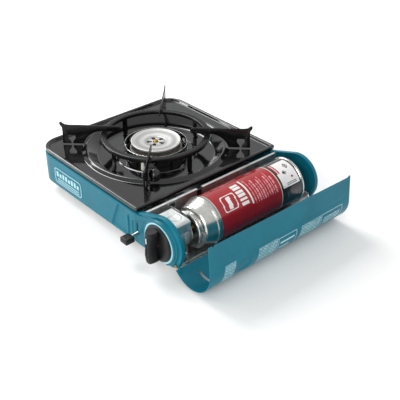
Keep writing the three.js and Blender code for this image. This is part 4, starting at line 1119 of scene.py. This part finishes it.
# The printed lacquer, in millimetres from the front and degrees round the can's axis.
RED_FRONT, RED_REAR, STRIPE_REAR, BLACK_REAR = 77.5, 187.0, 189.0, 226.5
DEGREE = 0.576
LABEL_ANGLES = (24, 98)
REAR_LABEL = (193.0, 224.0)
CODE_ROW, CODE_ANGLES = (199.0, 221.0), (-6, 12)
EMBLEM_ANGLE, EMBLEM_Y, EMBLEM_LEAN = 53.0, 100.5, 0.12
BARS, BARS_ANGLES = (117.0, 129.5), (32, 92)
RULE, RULE_ANGLES = (134.0, 136.4), (26, 96)
LINES, LINE_PITCH = (140.0, 182.0), 4.4
CORNER_REAR, CORNER_ANGLE = 199.0, 62
MARKS = ((206.0, 60.0, 4.2, "black"), (215.0, 76.0, 4.6, "black"), (214.0, 44.0, 2.4, "red"))
NOTE, NOTE_ANGLES = (201.0, 219.0), (29, 38)


def inside(y, angle, rows, angles):
    """Whether a place on the can lies in a panel."""
    return rows[0] < y < rows[1] and angles[0] < angle < angles[1]


def can_print(y, angle):
    """The finish of the can at a place: bare ends, red front label, cream stripe, black rear."""
    if y < RED_FRONT or y > BLACK_REAR:
        return "tinplate"
    if y < RED_REAR:
        return front_label(y, angle)
    if y < STRIPE_REAR:
        return "cream"
    if inside(y, angle, REAR_LABEL, LABEL_ANGLES):
        return rear_label(y, angle)
    if inside(y, angle, CODE_ROW, CODE_ANGLES) and (y - CODE_ROW[0]) % 3.2 < 1.4:
        return "grey"
    return "black"


def front_label(y, angle):
    """Red ground with a plain white frame, thick bars, a rule and thin lines."""
    around = (angle - EMBLEM_ANGLE) * DEGREE
    along = y - EMBLEM_Y - around * EMBLEM_LEAN
    edge = math.hypot(max(abs(around) - 7.5, 0), max(abs(along) - 8.0, 0)) - 4.0
    if -1.5 < edge < 0.0 or abs(along) < 3.2 and abs(around) < 8.5:
        return "white"
    if inside(y, angle, BARS, BARS_ANGLES) and (angle - BARS_ANGLES[0]) % 10.2 < 7.2:
        return "white"
    if inside(y, angle, RULE, RULE_ANGLES):
        return "white"
    if inside(y, angle, LINES, LABEL_ANGLES):
        row, across = divmod(y - LINES[0], LINE_PITCH)
        if across < 1.7 and angle < 92 - (row * 17) % 26 and (angle + row * 11) % 13 > 2:
            return "pink"
    return "red"


def rear_label(y, angle):
    """White panel with a red corner and plain marks."""
    if y < CORNER_REAR and angle > CORNER_ANGLE:
        return "red" if (y - REAR_LABEL[0]) % 3.2 < 2.2 else "white"
    for mark_y, mark_angle, reach, key in MARKS:
        away = abs(y - mark_y) + abs((angle - mark_angle) * DEGREE)
        if reach - 1.8 < away < reach or away < reach * 0.35:
            return key
    if inside(y, angle, NOTE, NOTE_ANGLES) and (angle - NOTE_ANGLES[0]) % 3.0 < 1.2:
        return "grey"
    return "white"


class STOVE_OT_cartridge(bpy.types.Operator):
    """Models the gas cartridge: printed can, stepped dome and valve collar, and softens the ejector
    fork
    """
    bl_idname = "stove.cartridge"
    bl_label = "Cartridge"

    def execute(self, context):
        self.can()
        body, r, y = CAN_RADIUS - SEAM, 24.5, COLLAR_FRONT
        dome = on_can("can_dome", filleted_ring([
            (r - 3.5, y + 4), (r - 3.5, y + 8), (r + 1.5, y + 8.2), (r + 4.0, y + 10.5),
            (body - 3.2, y + 15.5), (body - 1.6, y + 20.5), (body - 0.6, y + 25),
            (CAN_RADIUS - 0.3, y + 25.4), (CAN_RADIUS, y + 26.2), (CAN_RADIUS, CAN_FRONT + 2.5),
            (body - 2, CAN_FRONT + 3), (body - 2, y + 25), (body - 3.5, y + 20),
            (r + 2, y + 11.5), (r - 4.3, y + 9.2), (r - 4.3, y + 4)], 1.1, 4), 128)
        fit(shaded(dome, 40), "tinplate", "carriage", "cartridge_dome")
        collar = on_can("can_collar", filleted_ring([
            (r - 1.4, y), (r, y + 1.2), (r, y + 2.8), (r - 0.8, y + 3.7), (15.5, y + 3.7),
            (15.5, y + 8.5), (2.3, y + 8.5), (2.3, y + 7.5), (14.5, y + 7.5), (14.5, y + 0.8),
            (r - 4.2, y + 0.8), (r - 3.2, y)], 0.6, 3))
        cut_with(collar, block("key_notch", CAN_X - 4, CAN_X + 4, y - 2, y + 5,
                               CAN_Z + r - 2.5, CAN_Z + 40))
        fit(shaded(collar, 40), "tinplate", "carriage", "cartridge_collar")
        fit(from_node("ejector_fork", 0.25), "galvanised", "carriage", "ejector_fork")
        return {"FINISHED"}

    def can(self):
        """Sheet cylinder with a rolled rear seam; each face takes the lacquer printed there."""
        body, r = CAN_RADIUS - SEAM, CAN_RADIUS
        front, rear = CAN_FRONT + 3.6, CAN_REAR
        steps, around = 124, 192
        rows = [(body - 0.8, front), (body, front)]
        rows += [(body, front + (rear - 4.0 - front) * k / steps) for k in range(1, steps + 1)]
        rows += [(body + 0.5, rear - 3.6), (r - 0.1, rear - 3.1), (r, rear - 2.6), (r, rear - 0.7),
                 (r - 0.4, rear - 0.1), (r - 1.1, rear), (r - 1.8, rear - 0.4),
                 (r - 2.1, rear - 1.2), (body - 2.2, rear - 2.4), (body - 5, rear - 3.2),
                 (body - 9, rear - 4.6), (12, rear - 5.8), (0.0, rear - 6.0)]

        def place(i, j):
            radius, y = rows[j]
            angle = 2 * math.pi * i / around
            return at(CAN_X + radius * math.cos(angle), y, CAN_Z + radius * math.sin(angle))

        can = surface("printed_can", around + 1, len(rows), place)
        face_out(can, at(CAN_X, 150, CAN_Z))
        keys = ["tinplate", "red", "white", "pink", "black", "grey", "cream"]
        for key in keys:
            can.data.materials.append(finish(key))
        middle = at(CAN_X, 0, CAN_Z)
        for face in can.data.polygons:
            offset = (face.center - middle) / MM
            angle = math.degrees(math.atan2(offset.z, offset.x))
            angle = angle + 360 if angle < -90 else angle
            face.material_index = keys.index(can_print(offset.y, angle))
        settle(shaded(walled(can, 0.4), 40), "red", "carriage", "cartridge_can")


# ---------------------------------------------------------------- lid
# Distances along the lid from its hinge, and the thumb recess's distance from the front.
LOW_CREASE, HIGH_CREASE, THUMB_REACH, THUMB_Y = 59.0, 97.0, 80.0, 59.5


def lid_frame():
    """Turns the closed lid's drawing open about its pins."""
    pivot = at(hinge_x(), 0, HINGE_Z)
    opened = Matrix.Rotation(LID_OPEN, 4, "Y")
    return Matrix.Translation(pivot) @ opened @ Matrix.Translation(-pivot)


def lid_section(reach):
    """(point, outward normal) on the closed lid at a distance along it from the hinge."""
    foot_normal = Vector((math.cos(ARCH_FOOT), math.sin(ARCH_FOOT)))
    foot = Vector((ARCH_X, ARCH_Z)) + foot_normal * LID_OUTER
    start = Vector((arch_side_x(HINGE_Z + 2, LID_OUTER), HINGE_Z + 2))
    side = (foot - start).length
    if reach <= side:
        return start.lerp(foot, reach / side), foot_normal
    angle = ARCH_FOOT + (reach - side) / LID_OUTER
    bent = min(angle, math.pi / 2 + ARCH_SLOPE)
    normal = Vector((math.cos(bent), math.sin(bent)))
    along = Vector((-normal.y, normal.x))
    return Vector((ARCH_X, ARCH_Z)) + (normal + along * (angle - bent)) * LID_OUTER, normal


def lid_knee():
    """Distance from the hinge to where the arch turns into the straight roof."""
    foot_z = ARCH_Z + LID_OUTER * math.sin(ARCH_FOOT)
    side = (foot_z - HINGE_Z - 2) / math.cos(ARCH_FOOT)
    return side + LID_OUTER * (math.pi / 2 + ARCH_SLOPE - ARCH_FOOT)


def lid_end(y):
    """Distance from the hinge to the slanting free edge."""
    tip = LID_TIP + (LID_TIP_REAR - LID_TIP) * y / CASE_DEPTH
    return lid_knee() + (ARCH_X - LID_OUTER * math.sin(ARCH_SLOPE) - tip) / math.cos(ARCH_SLOPE)


class STOVE_OT_lid(bpy.types.Operator):
    """Models the hinged lid, open, with its creases, thumb recess and printed panels"""
    bl_idname = "stove.lid"
    bl_label = "Lid"

    def execute(self, context):
        turn = lid_frame()
        latch_x, latch_z = (ARCH_X + 22, ARCH_X + 42), (ARCH_Z - 8, ARCH_Z + 18)
        lid = cut_with(
            self.shell(),
            block("edge_notch", LID_TIP - 5, LID_TIP + 3, 6.5, 10, 50, 90, 0.5),
            block("latch_slot", *latch_x, 26.5, 30.5, *latch_z, 1.6))
        roof = arch_roof_z(LID_TIP_REAR, LID_OUTER - LID_WALL)
        tab = block("edge_tab", LID_TIP_REAR - 2.2, LID_TIP_REAR + 2, CASE_DEPTH - 5.5,
                    CASE_DEPTH - 1.5, roof + 0.1, roof + 0.8, 0.3)
        lid = joined("lid_shell", lid, tab, self.ear(4.6), self.ear(CASE_DEPTH - 5.6))
        lid.data.transform(turn)
        fit(shaded(lid, 40), "teal", "lid", "lid")
        for panel, key in self.panels():
            panel.data.transform(turn)
            fit(panel, key, "lid")
        return {"FINISHED"}

    def ear(self, y):
        """Tab of the lid that turns on a hinge pin."""
        x, z = hinge_x(), HINGE_Z
        foot = arch_side_x(z + 2, LID_OUTER - LID_WALL) + 0.3
        head = arch_side_x(z + 10, LID_OUTER - LID_WALL) + 0.3
        hull = [(x - 3.0, z - 0.5), (x - 2.0, z - 2.2), (x, z - 3.0), (x + 2.2, z - 2.0),
                (foot, z + 2), (head, z + 10), (x - 1.4, z + 2.6), (x - 2.7, z + 1.3)]
        ear = plate("ear", [at(u, y, v) for u, v in hull], shift(0, 1, 0))
        return cut_with(ear, hinge_hole(y - 3, y + 4))

    def relief(self, reach, y):
        """Inward press of the outer face: two creases, a thumb recess and a rolled free edge."""
        thumb = math.hypot((y - THUMB_Y) / 12.5, (reach - THUMB_REACH) / 11.5)
        press = 0.2 * smooth(reach, lid_end(y) - 4.0, lid_end(y) - 2.6)
        press -= 0.35 * ridge(reach, HIGH_CREASE, 0.5, 1.6)
        press -= 0.8 * ridge(reach, LOW_CREASE, 0.6, 2.6)
        press -= 2.0 * (1 - smooth(thumb, 0.82, 1.02))
        return press * span(y, 9.5, 12, CASE_DEPTH - 12, CASE_DEPTH - 9.5)

    def outer(self, reach, y, lift=0.0):
        """Place on the outer face, or that far above it."""
        point, normal = lid_section(reach)
        spot = point + normal * (self.relief(reach, y) + lift)
        return at(spot.x, y, spot.y)

    def shell(self):
        """Rows run from the hinge to the knee, then on to the slanting free edge."""
        steps, low_rows, high_rows = 172, 92, 42
        knee = lid_knee()

        def place(i, j):
            y = 0.5 + (CASE_DEPTH - 1.0) * j / steps
            if i <= low_rows:
                return self.outer(knee * i / low_rows, y)
            return self.outer(knee + (lid_end(y) - knee) * (i - low_rows) / high_rows, y)

        lid = surface("lid_sheet", low_rows + high_rows + 1, steps + 1, place)
        face_out(lid, at(ARCH_X, 128, ARCH_Z - 10))
        walled(lid, LID_WALL)
        return rounded(lid, 0.2, 2, 60)

    def patch(self, name, low, high, y0, y1, lean=0.0):
        """Thin printed patch that follows the lid's outer face."""
        rows, steps = max(1, round((high - low) / 1.5)), max(1, round((y1 - y0) / 1.5))

        def place(i, j):
            y = y0 + (y1 - y0) * j / steps + lean * i / rows
            return self.outer(low + (high - low) * i / rows, y, 0.06)

        sheet = surface(name, rows + 1, steps + 1, place)
        face_out(sheet, at(ARCH_X, 128, ARCH_Z - 10))
        return walled(sheet, 0.05)

    def outline(self, name, low, high, y0, y1, width=0.8):
        """Four thin rules round a plain printed panel."""
        return [self.patch(name + "_low", low, low + width, y0, y1),
                self.patch(name + "_high", high - width, high, y0, y1),
                self.patch(name + "_start", low, high, y0, y0 + width),
                self.patch(name + "_end", low, high, y1 - width, y1)]

    def panels(self):
        """The printed panels with their finishes: four of fine lines, and the rules."""
        for name, low, high, y0, y1, lean in (
                ("print_front", 62, 94, 22, 40, 4), ("print_middle", 64, 92, 80, 114, 3),
                ("print_rear", 66, 90, 158, 196, 3), ("print_last", 70, 84, 204, 236, 2)):
            yield self.patch(name, low, high, y0, y1, lean), "fine_print"
        rules = joined("print_rules", *self.outline("rules", 66, 90, 118, 152),
                       *self.outline("frame", 66, 90, 200, 242),
                       self.patch("bar", 80, 83, 122, 148), self.patch("bar", 72, 74, 122, 140))
        yield rules, "ink"


# ---------------------------------------------------------------- smaller parts
NODE_FINISH = {
    "burner_strap": "galvanised", "mixing_tube": "galvanised", "electrode_bracket": "galvanised",
    "lever_pivot_pin": "plated", "lever_spring": "plated", "electrode_wire": "plated",
    "base_screw_1": "plated", "base_screw_2": "plated",
    "base_screw_3": "plated", "base_screw_4": "plated",
    "gas_pipe": "aluminium", "air_shutter": "plated", "gas_jet": "brass", "valve_shaft": "brass",
    "cartridge_stem": "brass", "hinge_pin_front": "brass", "hinge_pin_rear": "brass",
    "piezo_igniter": "nylon", "ignition_lead": "rubber", "electrode_insulator": "alumina",
    "ignition_cam": "acetal",
}


class STOVE_OT_small_parts(bpy.types.Operator):
    """Softens the tray, heat shield, clip and feet, and gives the inner parts their finishes"""
    bl_idname = "stove.small_parts"
    bl_label = "Small parts"

    def execute(self, context):
        fit(from_node("base_pan", 0.5, 2), "galvanised", "stove_body", "base_pan")
        fit(from_node("heat_shield", 0.3), "galvanised", "stove_body", "heat_shield")
        fit(from_node("pan_clip", 0.35, 2), "nylon", "stove_body", "pan_clip")
        for corner in ("front_left", "front_right", "rear_left", "rear_right"):
            self.foot(corner)
        for node, key in NODE_FINISH.items():
            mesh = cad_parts[node].data
            if not mesh.materials:
                mesh.materials.append(None)
            for k in range(len(mesh.materials)):
                mesh.materials[k] = finish(key)
        return {"FINISHED"}

    def foot(self, corner):
        """Moulded foot with a grooved side and a recessed sole."""
        low, high = drawn_box("foot_" + corner)
        centre = (low + high) / 2
        profile = filleted_ring([
            (0.0, 0.8), (5.0, 0.8), (5.6, 0), (7.6, 0), (9, 1.2), (8.7, 2.6), (8.2, 3.0),
            (8.5, 3.5), (8.0, 5.9), (0.0, 5.9)], 0.4, 3)
        foot = turned("moulded_foot_" + corner, profile, (centre.x, centre.y, 0), "Z", 48)
        fit(shaded(foot, 40), "rubber", "stove_body", "foot_" + corner)


# ---------------------------------------------------------------- stage
CAMERA_PLACE = (656.3, -467.7, 591.8)
CAMERA_AZIMUTH, CAMERA_ELEVATION, CAMERA_ROLL = 48.69, 32.43, 0.30
# Each softbox: its place, the place it faces and its size, in metres.
KEY_BOX = ((-1.15, 0.05, 1.25), (0.0, 0.0, 0.03), 0.9)
FILL_BOX = ((0.75, -1.25, 0.75), (0.0, 0.0, 0.03), 0.8)
STRIP_BOX, STRIP_SHARE = ((-1.1, -0.75, 0.42), (0.0, 0.0, 0.05), 0.35), 0.35
FLOOR_SIZE, FLOOR_DROP = 8.0, 0.0002


class StoveStage(bpy.types.PropertyGroup):
    lens: FloatProperty(
        name="Lens", description="Focal length of the camera", default=67.75, min=20, unit="CAMERA")
    key_power: FloatProperty(
        name="Key light", description="Power of the main softbox", default=20.0, unit="POWER")
    fill_power: FloatProperty(
        name="Fill light", description="Power of the side softbox", default=12.0, unit="POWER")
    surround: FloatVectorProperty(
        name="Surround", description="Colour of the studio walls", subtype="COLOR",
        size=3, min=0, max=1, default=linear("#F2F3F4"))
    surround_level: FloatProperty(
        name="Surround level", description="Brightness of the studio walls", default=0.8,
        min=0, soft_max=1, subtype="FACTOR")


class STOVE_OT_stage(bpy.types.Operator):
    """Sets the pale floor, the softboxes, the studio walls and the camera"""
    bl_idname = "stove.stage"
    bl_label = "Stage"

    def execute(self, context):
        settings = context.scene.stove_stage
        self.floor()
        self.softbox("key_softbox", *KEY_BOX, settings.key_power)
        self.softbox("fill_softbox", *FILL_BOX, settings.fill_power)
        self.softbox("strip_softbox", *STRIP_BOX, settings.fill_power * STRIP_SHARE)
        self.walls(settings)
        self.camera(settings)
        context.scene.view_settings.view_transform = "Standard"
        return {"FINISHED"}

    def floor(self):
        deselect()
        bpy.ops.mesh.primitive_grid_add(
            x_subdivisions=8, y_subdivisions=8, size=FLOOR_SIZE, location=(0, 0, -FLOOR_DROP))
        bpy.ops.object.transform_apply(location=True, rotation=True, scale=True)
        floor = named("paper_floor")
        floor.data.materials.append(finish("floor"))

    def softbox(self, name, place, target, size, power):
        bpy.ops.object.light_add(type="AREA", location=place)
        lamp = bpy.context.object
        lamp.name = name
        lamp.data.energy = power
        lamp.data.size = size
        lamp.rotation_mode = "QUATERNION"
        lamp.rotation_quaternion = (Vector(place) - Vector(target)).to_track_quat("Z", "Y")

    def walls(self, settings):
        world = bpy.data.worlds.new("studio_walls")
        bpy.context.scene.world = world
        world.use_nodes = True
        wall = world.node_tree.nodes["Background"]
        wall.inputs["Color"].default_value = (*settings.surround, 1)
        wall.inputs["Strength"].default_value = settings.surround_level

    def camera(self, settings):
        a, e = math.radians(CAMERA_AZIMUTH), math.radians(CAMERA_ELEVATION)
        back = Vector((math.sin(a) * math.cos(e), -math.cos(a) * math.cos(e), math.sin(e)))
        right = Vector((math.cos(a), math.sin(a), 0))
        up = back.cross(right)
        turn = Matrix((right, up, back)).transposed()
        roll = Matrix.Rotation(math.radians(-CAMERA_ROLL), 3, "Z")
        bpy.ops.object.camera_add(location=at(*CAMERA_PLACE))
        camera = bpy.context.object
        camera.name = "stove_camera"
        camera.rotation_mode = "QUATERNION"
        camera.rotation_quaternion = (turn @ roll).to_quaternion()
        camera.data.lens = settings.lens
        camera.data.sensor_width = 36.0
        camera.data.clip_start, camera.data.clip_end = 0.01, 50.0
        bpy.context.scene.camera = camera


class STOVE_PT_panel(bpy.types.Panel):
    bl_idname = "STOVE_PT_panel"
    bl_label = "Camping stove"
    bl_space_type = "VIEW_3D"
    bl_region_type = "UI"
    bl_category = "Stove"

    def draw(self, context):
        column = self.layout.column()
        for name in STEPS:
            column.operator("stove." + name)
        settings = context.scene.stove_stage
        for name in ("lens", "key_power", "fill_power", "surround", "surround_level"):
            column.prop(settings, name)


STEPS = ("outer_case", "drip_pan", "burner", "pot_support", "knob", "regulator", "lock_lever",
         "cartridge", "lid", "small_parts", "stage")
CLASSES = (StoveStage, STOVE_OT_outer_case, STOVE_OT_drip_pan, STOVE_OT_burner,
           STOVE_OT_pot_support, STOVE_OT_knob, STOVE_OT_regulator, STOVE_OT_lock_lever,
           STOVE_OT_cartridge, STOVE_OT_lid, STOVE_OT_small_parts, STOVE_OT_stage, STOVE_PT_panel)


def register():
    for cls in CLASSES:
        bpy.utils.register_class(cls)
    bpy.types.Scene.stove_stage = PointerProperty(type=StoveStage)


def unregister():
    del bpy.types.Scene.stove_stage
    for cls in reversed(CLASSES):
        bpy.utils.unregister_class(cls)


def main():
    register()
    for name in STEPS:
        getattr(bpy.ops.stove, name)()


if __name__ == "__main__":
    main()
